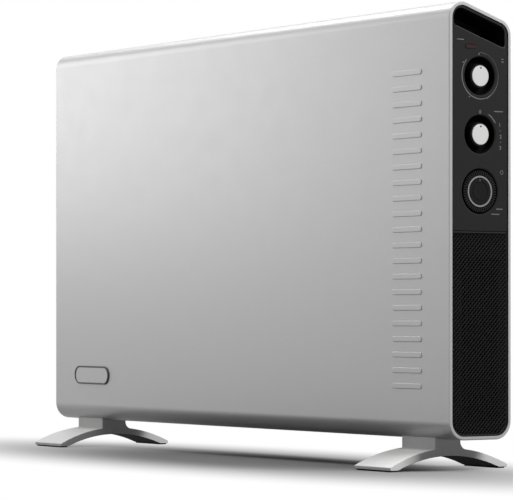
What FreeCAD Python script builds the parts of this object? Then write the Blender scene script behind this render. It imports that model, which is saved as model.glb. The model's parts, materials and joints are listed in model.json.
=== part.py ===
"""Slim convector heater: casing, ends with handles and grilles, controls, feet, fans and heater.

Millimetres, +Z up, +X towards the control end, the front faces -Y. The origin lies on the floor,
midway between the tips of the feet. The casing is drawn about its own middle plane and then set
back from the middle of the feet.
"""
import FreeCAD, Part
import math
import os
import re
import Sketcher

SIZES = {
    # Casing: a rounded section with a top that slopes down to the back
    "casing_width": 735,
    "casing_depth": 76,
    "overall_height": 450,
    "floor_gap": 30,
    "casing_setback": 12.5,
    "top_slope": 18,
    "top_corner": 16,
    "bottom_corner": 18,
    "sheet": 0.8,
    "rim": 3.5,
    # Ends: fascia above the seam, mesh below it, a frame behind both
    "fascia_recess": 0.8,
    "fascia_plate": 2.5,
    "fascia_gap": 0.5,
    "frame_plate": 3,
    "frame_gap": 0.4,
    "timer_to_seam": 38.3,
    "seam_gap": 0.4,
    "mesh_recess": 1.6,
    "mesh_margin": 4,
    "mesh_bar": 1.2,
    "mesh_pitch": 10,
    # Handle recess
    "handle_drop": 6.4,
    "handle_height": 18.4,
    "handle_front_margin": 6.5,
    "handle_rear_margin": 7,
    "handle_corner": 2.5,
    "handle_rear_corner": 8,
    "handle_front_corner": 9,
    "cup_depth": 30,
    "cup_wall": 1.6,
    "cup_flange": 2,
    # Control wells and knobs
    "thermostat_below_handle": 38.1,
    "knob_pitch": 56.1,
    "timer_pitch": 54.8,
    "well_radius": 18.2,
    "well_depth": 11,
    "well_wall": 1.6,
    "grip_edge": 1.4,
    "grip_flare": 1.8,
    "grip_lift": 0.5,
    "cap_radius": 10,
    "cap_thickness": 3,
    "cap_crown": 0.8,
    "cap_shoulder_drop": 0.24,
    "cap_shoulder_inset": 1.5,
    "cap_flat_inset": 5,
    "cap_rise": 1.5,
    "cap_lip": 0.9,
    "shaft_radius": 3,
    "running_gap": 0.05,
    "shaft_reach": 9,
    "socket_roof": 1.5,
    "bush_radius": 5,
    "bush_rise": 1,
    "bush_gap": 0.4,
    "thermostat_body_size": 34,
    "thermostat_body_depth": 20,
    "selector_body_width": 30,
    "selector_body_height": 36,
    "selector_body_depth": 22,
    # Timer
    "timer_well_radius": 21.4,
    "dial_gap": 0.6,
    "dial_hub_radius": 16,
    "dial_flange": 4,
    "dial_lift": 0.5,
    "tappet_count": 48,
    "tappet_width": 1.6,
    "tappet_rise": 0.6,
    "ring_margin": 1,
    "ring_width": 1.7,
    "ring_ledge": 0.2,
    "ring_height": 0.8,
    "mode_height": 3.4,
    "mode_gap": 0.4,
    "timer_bush_radius": 6,
    "timer_body_size": 44,
    "timer_body_depth": 24,
    # Bracket that carries the control bodies
    "bracket_sheet": 1,
    "bracket_side_gap": 6,
    "bracket_margin": 3,
    "pillar_radius": 4,
    "pillar_inset": 6,
    "screw_radius": 1.5,
    "screw_head_radius": 3,
    "screw_head_height": 2,
    "screw_bite": 5,
    # Pilot lens
    "lens_below_handle": 10.4,
    "lens_offset": 11,
    "lens_length": 14,
    "lens_height": 3.6,
    "lens_rise": 0.4,
    "lens_gap": 0.15,
    # Badge on the front
    "badge_length": 73,
    "badge_height": 20.5,
    "badge_plate": 1.5,
    "badge_from_end": 81,
    "badge_from_bottom": 51,
    # Outlet grille in the sloping top and inlet grille in the bottom
    "outlet_end_gap": 4,
    "outlet_side_gap": 2.2,
    "inlet_end_gap": 24,
    "inlet_side_gap": 3,
    "grille_gap": 0.3,
    "grille_flange": 2,
    "grille_lip": 4,
    "slot_width": 6,
    "slot_pitch": 10,
    "slot_margin": 3,
    # Rear panel
    "rear_sheet": 0.7,
    "rear_side_margin": 22,
    "rear_margin": 6,
    "rear_overlap": 12,
    "rear_screw_columns": 4,
    "louvre_length": 150,
    "louvre_height": 4,
    "louvre_pitch": 9,
    "louvre_rows": 8,
    "louvre_columns": 3,
    "louvre_spread": 190,
    "louvre_rise": 40,
    # Cord gland in the rear panel
    "gland_from_end": 45,
    "gland_rise": 14,
    "gland_bore": 4,
    "gland_radius": 6,
    "gland_flange_radius": 9,
    "gland_flange": 3,
    "gland_tail": 9,
    # Feet
    "foot_from_end": 61,
    "foot_half_length": 71.5,
    "foot_tip_width": 58,
    "foot_tip": 3.2,
    "foot_flat": 9.5,
    "foot_crown": 13.5,
    "foot_arch": 7.5,
    "post_width": 53,
    "post_depth": 31,
    "post_corner": 6,
    "pad_height": 1.2,
    "pad_inset": 3,
    "pad_tip_inset": 1,
    "foot_screw_spread": 14,
    "foot_screw_radius": 2.1,
    "foot_head_radius": 4.2,
    "foot_head_height": 3,
    "foot_floor": 6,
    "nut_plate": 3,
    "nut_plate_width": 44,
    "nut_plate_edge": 1,
    "nut_plate_rear": 8,
    # Bulkheads, heater and electrical pieces
    "bulkhead_clear": 3,
    "bulkhead_sheet": 0.8,
    "bulkhead_gap": 0.2,
    "air_window_half": 22,
    "air_window_rise": 30,
    "rod_radius": 4,
    "rod_spread": 16,
    "rod_rise": 45,
    "rod_tail": 10,
    "insulator_radius": 7,
    "insulator_length": 8,
    "fin_side_gap": 7,
    "fin_half_height": 21,
    "fin_sheet": 0.5,
    "fin_pitch": 12,
    "fin_margin": 20,
    "cutout_radius": 8,
    "cutout_height": 6,
    "cutout_rise": 24,
    "terminal_depth": 12,
    "terminal_width": 40,
    "terminal_height": 20,
    "terminal_rise": 16,
    # Fans
    "fan_front_gap": 5.7,
    "fan_bottom_gap": 16,
    "fan_top_gap": 24,
    "housing_wall": 1.5,
    "housing_side_gap": 11,
    "impeller_side_gap": 3.5,
    "impeller_gap": 2,
    "blade_count": 20,
    "blade_depth": 6,
    "blade_sheet": 0.8,
    "impeller_disc": 1.2,
    "fan_shaft_radius": 2.5,
    "fan_motor_radius": 19,
    "fan_motor_height": 21,
    "fan_motor_roof": 3,
    "fan_bearing_radius": 5,
    "fan_bearing_drop": 3,
}

# Distances that follow from the sizes, written as expressions on them
END = "(casing_width / 2)"
TOP_MIDDLE = (
    "(overall_height - top_corner + top_corner / cos(top_slope)"
    " - tan(top_slope) * (casing_depth / 2 - top_corner))"
)
HANDLE_BOTTOM = "(handle_drop + handle_height)"
HANDLE_Z = f"({TOP_MIDDLE} - {HANDLE_BOTTOM} / cos(top_slope))"
THERMOSTAT_Z = f"({HANDLE_Z} - thermostat_below_handle)"
SELECTOR_Z = f"({THERMOSTAT_Z} - knob_pitch)"
TIMER_Z = f"({SELECTOR_Z} - timer_pitch)"
SEAM_Z = f"({TIMER_Z} - timer_to_seam)"
FASCIA_INSET = "(rim + fascia_gap)"
FASCIA_BACK = "(fascia_recess + fascia_plate)"
FRAME_BACK = f"({FASCIA_BACK} + frame_plate)"
WELL_FLOOR = "(fascia_recess + well_depth)"
WELL_BACK = f"({WELL_FLOOR} + well_wall)"
BRACKET_BACK = f"({WELL_BACK} + bracket_sheet)"
BRACKET_HALF = "(casing_depth / 2 - bracket_side_gap)"
DIAL_RADIUS = "(timer_well_radius - dial_gap)"
RING_OUTER = "(dial_hub_radius - ring_margin)"
RING_INNER = f"({RING_OUTER} - ring_width)"
MODE_RADIUS = f"({RING_INNER} - ring_ledge - mode_gap)"
GRIP_TOP = "(cap_radius + grip_edge)"
GRIP_BASE = f"({GRIP_TOP} + grip_flare)"
FOOT_X = f"({END} - foot_from_end)"
FAN_BOTTOM = "(floor_gap + fan_bottom_gap)"
FAN_TOP = f"({SEAM_Z} - fan_top_gap)"
HOUSING_HALF = "(casing_depth / 2 - housing_side_gap)"
IMPELLER_RADIUS = f"({HOUSING_HALF} - housing_wall - impeller_side_gap)"
FAN_AXIS = f"({FRAME_BACK} + fan_front_gap + {IMPELLER_RADIUS})"
HOUSING_BACK = f"({FAN_AXIS} + {IMPELLER_RADIUS} + impeller_gap)"
ROD_Z = "(floor_gap + rod_rise)"
BULKHEAD = "(foot_from_end + nut_plate_width / 2 + bulkhead_clear)"
BULKHEAD_BACK = f"({BULKHEAD} + bulkhead_sheet)"
BULKHEAD_INSET = "(sheet + bulkhead_gap)"
CHAMBER_END = f"({END} - {BULKHEAD_BACK})"
OUTLET_LENGTH = f"(2 * ({CHAMBER_END} - grille_lip - outlet_end_gap))"
TOP_FRONT = "(top_corner * tan(45 + top_slope / 2) * cos(top_slope) - casing_depth / 2)"
TOP_REAR = "(casing_depth / 2 - top_corner * tan(45 - top_slope / 2) * cos(top_slope))"
OUTLET_MIDDLE = f"(({TOP_FRONT} + {TOP_REAR}) / 2)"
OUTLET_WIDTH = f"(({TOP_REAR} - {TOP_FRONT}) / cos(top_slope) - 2 * (grille_lip + outlet_side_gap))"
INLET_LENGTH = f"(2 * ({CHAMBER_END} - grille_lip - inlet_end_gap))"
FLAT_BOTTOM = "(casing_depth / 2 - bottom_corner)"
INLET_WIDTH = f"(2 * ({FLAT_BOTTOM} - grille_lip - inlet_side_gap))"
REAR_FACE = "(casing_depth / 2 + rear_sheet)"

# How far a cutting tool runs past the piece that it cuts, and a joined solid into its neighbour
OVERCUT = "1"

SIDES = {"right": 1, "left": -1}
V = FreeCAD.Vector
TURN = {
    "X": FreeCAD.Rotation(V(0, 1, 0), 90),
    "Y": FreeCAD.Rotation(V(1, 0, 0), -90),
    "Z": FreeCAD.Rotation(),
}

doc = FreeCAD.newDocument("ConvectorHeater")
sheet = doc.addObject("Spreadsheet::Sheet", "Sizes")
for row, (alias, number) in enumerate(SIZES.items(), start=1):
    sheet.set(f"A{row}", alias)
    sheet.set(f"B{row}", str(number))
    sheet.setAlias(f"B{row}", alias)
doc.recompute()

nodes = []


# Expressions and placing


def link(expression):
    """The expression with the sheet's name put before each size in it."""
    return re.sub(
        "[a-z_]+",
        lambda word: "Sizes." + word[0] if word[0] in SIZES else word[0],
        str(expression),
    )


def value(expression):
    return float(sheet.evalExpression(link(expression)))


def bind(obj, **expressions):
    for prop, expression in expressions.items():
        obj.setExpression(prop, link(expression))
    return obj


def place(obj, x="0", y="0", z="0"):
    for axis, expression in zip("xyz", (x, y, z)):
        obj.setExpression("Placement.Base." + axis, link(expression))
    return obj


def node(label, obj, setback="casing_setback"):
    """Name a finished sub-part; pieces of the casing stand back from the middle of the feet."""
    holder = doc.addObject("Part::Compound", label)
    holder.Links = [obj]
    holder.Label = label
    place(holder, y=setback)
    nodes.append(holder)


# Solids


def box(name, low, size):
    obj = doc.addObject("Part::Box", name)
    bind(obj, Length=size[0], Width=size[1], Height=size[2])
    return place(obj, *low)


def rod(name, axis, radius, length, start):
    obj = doc.addObject("Part::Cylinder", name)
    obj.Placement.Rotation = TURN[axis]
    bind(obj, Radius=radius, Height=length)
    return place(obj, *start)


def pill(name, axis, length, height, thickness, centre):
    """A flat bar with round ends, long along Y or X, standing up from its centre along its axis."""
    straight = f"(({length}) - ({height}))"
    x, y, z = centre
    radius = f"({height}) / 2"
    low = f"{z} - ({height}) / 2"
    if axis == "X":
        middle = box(name + "_bar", (x, f"{y} - {straight} / 2", low), (thickness, straight, height))
        ends = [(x, f"{y} {sign} {straight} / 2", z) for sign in "+-"]
    else:
        middle = box(name + "_bar", (f"{x} - {straight} / 2", y, low), (straight, thickness, height))
        ends = [(f"{x} {sign} {straight} / 2", y, z) for sign in "+-"]
    rounds = [rod(f"{name}_end{k}", axis, radius, thickness, end) for k, end in enumerate(ends)]
    return fuse(name, middle, *rounds)


def fuse(name, *pieces):
    obj = doc.addObject("Part::MultiFuse", name)
    obj.Shapes = list(pieces)
    obj.Refine = True
    return obj


def group(name, *pieces):
    obj = doc.addObject("Part::Compound", name)
    obj.Links = list(pieces)
    return obj


def cut(name, base, *tools):
    obj = doc.addObject("Part::Cut", name)
    obj.Base = base
    obj.Tool = tools[0] if len(tools) == 1 else fuse(name + "_tools", *tools)
    return obj


def common(name, base, tool):
    obj = doc.addObject("Part::Common", name)
    obj.Base = base
    obj.Tool = tool
    return obj


def along(name, piece, axis, step, count, first="0"):
    """Copies of a piece in a row."""
    copies = []
    for k in range(count):
        copy = group(f"{name}_{k}", piece)
        place(copy, **{axis: f"({first}) + {k} * ({step})"})
        copies.append(copy)
    return group(name, *copies)


def around(name, piece, axis, count):
    """Copies of a piece turned about an axis through the origin."""
    copies = []
    for k in range(count):
        copy = group(f"{name}_{k}", piece)
        copy.Placement.Rotation = FreeCAD.Rotation(axis, k * 360 / count)
        copies.append(copy)
    return copies


def sketch_in(body, plane):
    sketch = body.newObject("Sketcher::SketchObject", body.Name + "_outline")
    role = [f for f in body.Origin.OriginFeatures if f.Role == plane][0]
    sketch.AttachmentSupport = [(role, "")]
    sketch.MapMode = "FlatFace"
    return sketch


def pin(sketch, line, end, point):
    """Tie one end of a sketch line to a point given by two expressions."""
    for kind, expression in zip(("DistanceX", "DistanceY"), point):
        index = sketch.addConstraint(Sketcher.Constraint(kind, -1, 1, line, end, value(expression)))
        sketch.setExpression(f"Constraints[{index}]", link(expression))


def draw(sketch, points):
    """A closed outline of straight sides with every corner tied to the sizes."""
    spots = [V(value(x), value(y), 0) for x, y in points]
    count = len(spots)
    for k in range(count):
        sketch.addGeometry(Part.LineSegment(spots[k], spots[(k + 1) % count]), False)
    for k in range(count):
        sketch.addConstraint(Sketcher.Constraint("Coincident", k, 2, (k + 1) % count, 1))
    for k, point in enumerate(points):
        pin(sketch, k, 1, point)


def prism(name, plane, points, start, length, corners=None):
    """An outline padded along its plane's normal, with chosen corners rounded."""
    body = doc.addObject("PartDesign::Body", name)
    sketch = sketch_in(body, plane)
    draw(sketch, points)
    sketch.setExpression("AttachmentOffset.Base.z", link(start))
    pad = body.newObject("PartDesign::Pad", name + "_pad")
    pad.Profile = sketch
    bind(pad, Length=length)
    doc.recompute()
    flat = {"YZ_Plane": lambda p: (p.y, p.z), "XY_Plane": lambda p: (p.x, p.y)}[plane]
    tip = pad
    for radius in sorted(set((corners or {}).values())):
        spots = [
            (value(points[k][0]), value(points[k][1])) for k in corners if corners[k] == radius
        ]
        edges = [
            f"Edge{k}"
            for k, edge in enumerate(tip.Shape.Edges, start=1)
            if any(all(math.dist(flat(v.Point), s) < 1e-6 for v in edge.Vertexes) for s in spots)
        ]
        fillet = body.newObject("PartDesign::Fillet", name + "_fillet")
        fillet.Base = (tip, edges)
        bind(fillet, Radius=radius)
        doc.recompute()
        tip = fillet
    return body


def turned(name, points, z):
    """A piece turned about X at a knob's height; its points are depths below the end and radii."""
    body = doc.addObject("PartDesign::Body", name)
    sketch = sketch_in(body, "XZ_Plane")
    draw(sketch, [(f"{END} - ({depth})", radius) for depth, radius in points])
    turn = body.newObject("PartDesign::Revolution", name + "_turn")
    turn.Profile = sketch
    turn.ReferenceAxis = (sketch, ["H_Axis"])
    turn.Angle = 360
    return place(body, z=z)


# The casing's section and depths below its ends


def top_at(y, inset):
    return f"({TOP_MIDDLE} - tan(top_slope) * ({y}) - ({inset}) / cos(top_slope))"


def section(inset, bottom=None, top=None):
    """The casing's section moved inwards: bottom front, bottom rear, top rear, top front."""
    half = f"(casing_depth / 2 - {inset})"
    low = bottom or f"(floor_gap + {inset})"
    rear_top = top or top_at(half, inset)
    front_top = top or top_at("-" + half, inset)
    outline = [("-" + half, low), (half, low), (half, rear_top), ("-" + half, front_top)]
    corners = {}
    if not bottom:
        corners.update(dict.fromkeys((0, 1), f"(bottom_corner - {inset})"))
    if not top:
        corners.update(dict.fromkeys((2, 3), f"(top_corner - {inset})"))
    return outline, corners


def span(side, near, far):
    """Where a stretch of depth below one end starts along X, and its length."""
    start = f"({END} - ({far}))" if side == "right" else f"(({near}) - {END})"
    return start, f"(({far}) - ({near}))"


def end_prism(name, side, shape, near, far):
    start, length = span(side, near, far)
    outline, corners = shape
    return prism(name, "YZ_Plane", outline, start, length, corners)


def end_rod(name, side, radius, near, far, y, z):
    start, length = span(side, near, far)
    return rod(name, "X", radius, length, (start, y, z))


def end_box(name, side, near, far, low, size):
    start, length = span(side, near, far)
    return box(name, (start, *low), (length, *size))


def handle_outline(grow):
    """The slanting finger recess, made larger all round by a distance."""
    front = f"-(casing_depth / 2 - handle_front_margin + {grow})"
    rear = f"(casing_depth / 2 - handle_rear_margin + {grow})"
    under = f"({HANDLE_BOTTOM} + {grow})"
    over = f"(handle_drop - {grow})"
    outline = [
        (front, top_at(front, under)),
        (rear, top_at(rear, under)),
        (rear, top_at(rear, over)),
        (front, top_at(front, over)),
    ]
    corners = dict.fromkeys((0, 1), f"(handle_corner + {grow})")
    corners[2] = f"(handle_rear_corner + {grow})"
    corners[3] = f"(handle_front_corner + {grow})"
    return outline, corners


# Casing


def casing_wrap():
    long = "casing_width"
    outer = prism("casing_outer", "YZ_Plane", section("0")[0], f"-{END}", long, section("0")[1])
    outline, corners = section("sheet")
    hollow = prism("casing_hollow", "YZ_Plane", outline, f"sheet - {END}", f"{long} - 2 * sheet", corners)
    outline, corners = section("rim")
    mouth = prism("casing_mouth", "YZ_Plane", outline, f"-{END}", long, corners)
    outlet = sloped(
        box("outlet_window", (f"-{OUTLET_LENGTH} / 2", f"-{OUTLET_WIDTH} / 2", "-2 * sheet"),
            (OUTLET_LENGTH, OUTLET_WIDTH, "4 * sheet"))
    )
    inlet = box(
        "inlet_window",
        (f"-{INLET_LENGTH} / 2", f"-{INLET_WIDTH} / 2", "floor_gap - sheet"),
        (INLET_LENGTH, INLET_WIDTH, "3 * sheet"),
    )
    side, low, wide, high = rear_window()
    rear = box("rear_window", (side, "casing_depth / 2 - 2 * sheet", low), (wide, "4 * sheet", high))
    holes = [
        rod(f"foot_hole_{k}", "Z", "foot_screw_radius + grille_gap", "3 * sheet",
            (x, y, "floor_gap - sheet"))
        for k, (x, y) in enumerate(foot_screw_spots())
    ]
    pilots = [
        rod(f"rear_hole_{k}", "Y", "screw_radius + running_gap", "4 * sheet",
            (x, "casing_depth / 2 - 2 * sheet", z))
        for k, (x, z) in enumerate(rear_screw_spots())
    ]
    node("casing_wrap", cut("casing_shell", outer, hollow, mouth, outlet, inlet, rear, *holes, *pilots))


def sloped(obj):
    """Turn a piece drawn flat into the sloping top, about the outlet's middle line."""
    holder = group(obj.Name + "_sloped", obj)
    holder.Placement.Rotation = FreeCAD.Rotation(V(1, 0, 0), 1)
    holder.setExpression("Placement.Rotation.Angle", link("-top_slope"))
    return place(holder, y=OUTLET_MIDDLE, z=top_at(OUTLET_MIDDLE, "0"))


def slotted_plate(name, length, width, top, inwards):
    """A grille plate flush with a sheet, its wider flange against the sheet's inside."""
    sign = "-" if inwards < 0 else "+"
    far = f"{top} {sign} (sheet + grille_flange)"
    near = f"{top} {sign} sheet"
    low, seat = (far, near) if inwards < 0 else (near, far)
    plate_long = f"({length} - 2 * grille_gap)"
    plate_wide = f"({width} - 2 * grille_gap)"
    plate_low = near if inwards < 0 else top
    plate = box(
        name + "_plate",
        (f"-{plate_long} / 2", f"-{plate_wide} / 2", plate_low),
        (plate_long, plate_wide, "sheet"),
    )
    flange_long = f"({length} + 2 * grille_lip)"
    flange_wide = f"({width} + 2 * grille_lip)"
    flange = box(
        name + "_flange",
        (f"-{flange_long} / 2", f"-{flange_wide} / 2", low),
        (flange_long, flange_wide, "grille_flange"),
    )
    slot_long = f"({plate_wide} - 2 * slot_margin)"
    count = int(value(f"({plate_long} - 2 * slot_margin - slot_width) / slot_pitch")) + 1
    slot = box(
        name + "_slot",
        ("-slot_width / 2", f"-{slot_long} / 2", f"{low} - sheet"),
        ("slot_width", slot_long, "grille_flange + 4 * sheet"),
    )
    slots = along(name + "_slots", slot, "x", "slot_pitch", count, f"-slot_pitch * {(count - 1) / 2}")
    return cut(name + "_grid", fuse(name + "_blank", plate, flange), slots)


def casing_grilles():
    node("outlet_grille", sloped(slotted_plate("outlet", OUTLET_LENGTH, OUTLET_WIDTH, "0", -1)))
    node("inlet_grille", slotted_plate("inlet", INLET_LENGTH, INLET_WIDTH, "floor_gap", 1))


def badge_plate():
    centre = (
        f"(badge_from_end - {END})",
        "(-casing_depth / 2 - badge_plate)",
        "(floor_gap + badge_from_bottom)",
    )
    node("badge_plate", pill("badge", "Y", "badge_length", "badge_height", "badge_plate", centre))


# Rear panel


def rear_panel_box():
    side = f"(rear_side_margin - {END})"
    low = "(floor_gap + bottom_corner + rear_margin)"
    flat_top = f"({top_at('casing_depth / 2', '0')} - top_corner * tan(45 - top_slope / 2))"
    high = f"({flat_top} - rear_margin - {low})"
    return side, low, "(casing_width - 2 * rear_side_margin)", high


def rear_window():
    side, low, wide, high = rear_panel_box()
    return (
        f"({side} + rear_overlap)",
        f"({low} + rear_overlap)",
        f"({wide} - 2 * rear_overlap)",
        f"({high} - 2 * rear_overlap)",
    )


def rear_screw_spots():
    side, low, wide, high = rear_panel_box()
    count = int(value("rear_screw_columns"))
    step = f"({wide} - rear_overlap) / {count - 1}"
    columns = [f"{side} + rear_overlap / 2 + {k} * {step}" for k in range(count)]
    rows = [f"{low} + rear_overlap / 2", f"{low} + {high} - rear_overlap / 2"]
    return [(x, z) for x in columns for z in rows]


def rear_panel():
    side, low, wide, high = rear_panel_box()
    blank = box("rear_blank", (side, "casing_depth / 2", low), (wide, "rear_sheet", high))
    louvre = box(
        "rear_louvre",
        ("-louvre_length / 2", "casing_depth / 2 - rear_sheet", f"{low} + louvre_rise"),
        ("louvre_length", "3 * rear_sheet", "louvre_height"),
    )
    rows = along("rear_rows", louvre, "z", "louvre_pitch", int(value("louvre_rows")))
    first = f"-louvre_spread * {(value('louvre_columns') - 1) / 2}"
    louvres = along("rear_columns", rows, "x", "louvre_spread", int(value("louvre_columns")), first)
    x, z = gland_spot()
    gland_hole = rod(
        "gland_hole", "Y", "gland_radius + running_gap", "3 * rear_sheet",
        (x, "casing_depth / 2 - rear_sheet", z),
    )
    pilots = [
        rod(f"panel_hole_{k}", "Y", "screw_radius + running_gap", "3 * rear_sheet",
            (sx, "casing_depth / 2 - rear_sheet", sz))
        for k, (sx, sz) in enumerate(rear_screw_spots())
    ]
    node("rear_panel", cut("rear_sheet_metal", cut("rear_louvred", blank, louvres), gland_hole, *pilots))
    screws = []
    for k, (sx, sz) in enumerate(rear_screw_spots()):
        head = rod(f"rear_head_{k}", "Y", "screw_head_radius", "screw_head_height", (sx, REAR_FACE, sz))
        shank = rod(f"rear_shank_{k}", "Y", "screw_radius", "rear_sheet + screw_bite",
                    (sx, "casing_depth / 2 - screw_bite", sz))
        screws.append(fuse(f"rear_screw_{k}", head, shank))
    node("rear_screws", group("rear_screw_set", *screws))


def gland_spot():
    window_low = rear_window()[1]
    return f"({END} - gland_from_end)", f"({window_low} + gland_rise)"


def cord_gland():
    x, z = gland_spot()
    flange = rod("gland_collar", "Y", "gland_flange_radius", "gland_flange", (x, REAR_FACE, z))
    inner_end = (x, f"{REAR_FACE} - gland_tail", z)
    tail = rod("gland_barrel", "Y", "gland_radius", "gland_tail", inner_end)
    bore = rod("gland_way", "Y", "gland_bore", "gland_tail + gland_flange", inner_end)
    node("cord_gland", cut("gland", fuse("gland_blank", flange, tail), bore))


# Ends


def end_frame(side):
    """The moulding behind fascia and mesh, with a wall round them that seats on the casing's rim."""
    name = side + "_frame"
    blank = end_prism(name + "_blank", side, section("(sheet + frame_gap)"), "sheet", FRAME_BACK)
    pocket = end_prism(name + "_pocket", side, section("(rim + fascia_gap / 2)"), "0", FASCIA_BACK)
    behind = f"{FRAME_BACK} + {OVERCUT}"
    handle = end_prism(name + "_handle", side, handle_outline("0"), "0", behind)
    inner = f"({HOUSING_HALF} - 2 * housing_wall)"
    window = end_box(
        name + "_window", side, "0", behind,
        (f"-{inner}", f"{FAN_BOTTOM} + housing_wall"),
        (f"2 * {inner}", f"{FAN_TOP} - {FAN_BOTTOM} - 2 * housing_wall"),
    )
    frame = cut(name + "_plate", blank, pocket, handle, window)
    if side == "right":
        holes = [
            end_rod(f"{name}_well_{k}", side, f"{radius} + well_wall + frame_gap", "0", behind, "0", z)
            for k, (radius, z) in enumerate(wells())
        ]
        pillars = []
        for k, (y, z) in enumerate(pillar_spots()):
            post = end_rod(f"{name}_pillar_{k}", side, "pillar_radius", FASCIA_BACK, WELL_BACK, y, z)
            pilot = end_rod(f"{name}_pilot_{k}", side, "screw_radius + running_gap",
                            f"{WELL_BACK} - screw_bite - running_gap", WELL_BACK, y, z)
            pillars.append(cut(f"{name}_post_{k}", post, pilot))
        frame = fuse(name + "_moulding", cut(name + "_bored", frame, *holes), *pillars)
    node(side + "_end_frame", frame)


def handle_cup(side):
    name = side + "_cup"
    far = f"({FRAME_BACK} + cup_depth)"
    wall = end_prism(name + "_wall", side, handle_outline("cup_wall"), FRAME_BACK, f"{far} + cup_wall")
    flange_outline = handle_outline("(cup_wall + cup_flange)")
    flange = end_prism(name + "_flange", side, flange_outline, FRAME_BACK, f"{FRAME_BACK} + cup_wall")
    hollow = end_prism(name + "_hollow", side, handle_outline("0"), FRAME_BACK, far)
    node(side + "_handle_cup", cut(name + "_shell", fuse(name + "_blank", wall, flange), hollow))


def fascia(side):
    name = side + "_fascia"
    shape = section(FASCIA_INSET, bottom=f"({SEAM_Z} + seam_gap / 2)")
    plate = end_prism(name + "_plate", side, shape, "fascia_recess", FASCIA_BACK)
    behind = f"{FASCIA_BACK} + {OVERCUT}"
    handle = end_prism(name + "_handle", side, handle_outline("0"), "0", behind)
    if side == "left":
        node("left_fascia", cut(name + "_panel", plate, handle))
        return
    holes = [
        end_rod(f"{name}_well_{k}", side, radius, "0", behind, "0", z)
        for k, (radius, z) in enumerate(wells())
    ]
    _, y, z = lens_spot()
    start, length = span(side, "0", behind)
    lens = pill(name + "_lens", "X", "lens_length + 2 * lens_gap", "lens_height + 2 * lens_gap", length,
                (start, y, z))
    node("control_fascia", cut(name + "_panel", plate, handle, lens, *holes))


def knob_cups():
    """Round cups behind the fascia's three holes, held between it and the bracket."""
    cups = []
    for k, ((radius, z), bush) in enumerate(zip(wells(), bush_radii())):
        blank = end_rod(f"knob_cup_blank_{k}", "right", f"{radius} + well_wall", FASCIA_BACK, WELL_BACK, "0", z)
        hollow = end_rod(f"knob_cup_hollow_{k}", "right", radius, "0", WELL_FLOOR, "0", z)
        hole = end_rod(f"knob_cup_hole_{k}", "right", f"{bush} + bush_gap", "0", f"{WELL_BACK} + {OVERCUT}", "0", z)
        cups.append(cut(f"knob_cup_{k}", blank, hollow, hole))
    node("knob_cups", group("knob_cup_set", *cups))


def mesh_grille(side):
    """The flat mesh below the seam, drawn with square holes set cornerwise."""
    name = side + "_mesh"
    shape = section(FASCIA_INSET, top=f"({SEAM_Z} - seam_gap / 2)")
    plate = end_prism(name + "_plate", side, shape, "mesh_recess", FASCIA_BACK)
    reach = "(mesh_pitch / 2 - mesh_bar / sqrt(2))"
    start, length = span(side, "0", f"{FASCIA_BACK} + {OVERCUT}")
    diamond = [(f"-{reach}", "0"), ("0", f"-{reach}"), (reach, "0"), ("0", reach)]
    hole = prism(name + "_hole", "YZ_Plane", diamond, start, length)
    half = f"(casing_depth / 2 - {FASCIA_INSET} - mesh_margin - {reach})"
    columns = 2 * int(value(f"{half} / mesh_pitch")) + 1
    low = f"(floor_gap + {FASCIA_INSET} + mesh_margin + {reach})"
    rows = int(value(f"({SEAM_Z} - mesh_margin - {reach} - {low}) / mesh_pitch")) + 1
    first = f"-mesh_pitch * {columns // 2}"
    row = along(name + "_row", hole, "y", "mesh_pitch", columns, first)
    between = along(name + "_between", hole, "y", "mesh_pitch", columns - 1, f"{first} + mesh_pitch / 2")
    holes = along(name + "_holes", row, "z", "mesh_pitch", rows, low)
    more = along(name + "_more", between, "z", "mesh_pitch", rows - 1, f"{low} + mesh_pitch / 2")
    node(side + "_grille", cut(name + "_sheet", plate, group(name + "_all", holes, more)))


# Controls


def knob_heights():
    return THERMOSTAT_Z, SELECTOR_Z, TIMER_Z


def wells():
    return zip(("well_radius", "well_radius", "timer_well_radius"), knob_heights())


def bush_radii():
    return "bush_radius", "bush_radius", "timer_bush_radius"


def bracket_top():
    rear_bottom = top_at(BRACKET_HALF, f"{HANDLE_BOTTOM} + cup_wall + cup_flange")
    return f"({rear_bottom} - bracket_margin)"


def pillar_spots():
    low = f"({SEAM_Z} + bracket_margin + pillar_inset)"
    high = f"({bracket_top()} - pillar_inset)"
    side = f"({BRACKET_HALF} - pillar_inset)"
    return [(y, z) for y in ("-" + side, side) for z in (low, high)]


def lens_spot():
    start, _ = span("right", "0", FASCIA_BACK)
    return start, "-lens_offset", f"({HANDLE_Z} - lens_below_handle)"


def control_bracket():
    low = f"({SEAM_Z} + bracket_margin)"
    plate = end_box(
        "bracket_plate", "right", WELL_BACK, BRACKET_BACK,
        (f"-{BRACKET_HALF}", low),
        (f"2 * {BRACKET_HALF}", f"{bracket_top()} - {low}"),
    )
    behind = f"{BRACKET_BACK} + {OVERCUT}"
    bushes = [
        end_rod(f"bracket_bush_{k}", "right", f"{radius} + bush_gap", WELL_FLOOR, behind, "0", z)
        for k, (radius, z) in enumerate(zip(bush_radii(), knob_heights()))
    ]
    holes = [
        end_rod(f"bracket_hole_{k}", "right", "screw_radius + running_gap", WELL_FLOOR, behind, y, z)
        for k, (y, z) in enumerate(pillar_spots())
    ]
    node("control_bracket", cut("bracket", plate, *bushes, *holes))
    screws = []
    for k, (y, z) in enumerate(pillar_spots()):
        head = end_rod(f"bracket_head_{k}", "right", "screw_head_radius", BRACKET_BACK,
                       f"{BRACKET_BACK} + screw_head_height", y, z)
        shank = end_rod(f"bracket_shank_{k}", "right", "screw_radius",
                        f"{WELL_BACK} - screw_bite", BRACKET_BACK, y, z)
        screws.append(fuse(f"bracket_screw_{k}", head, shank))
    node("bracket_screws", group("bracket_screw_set", *screws))


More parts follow.
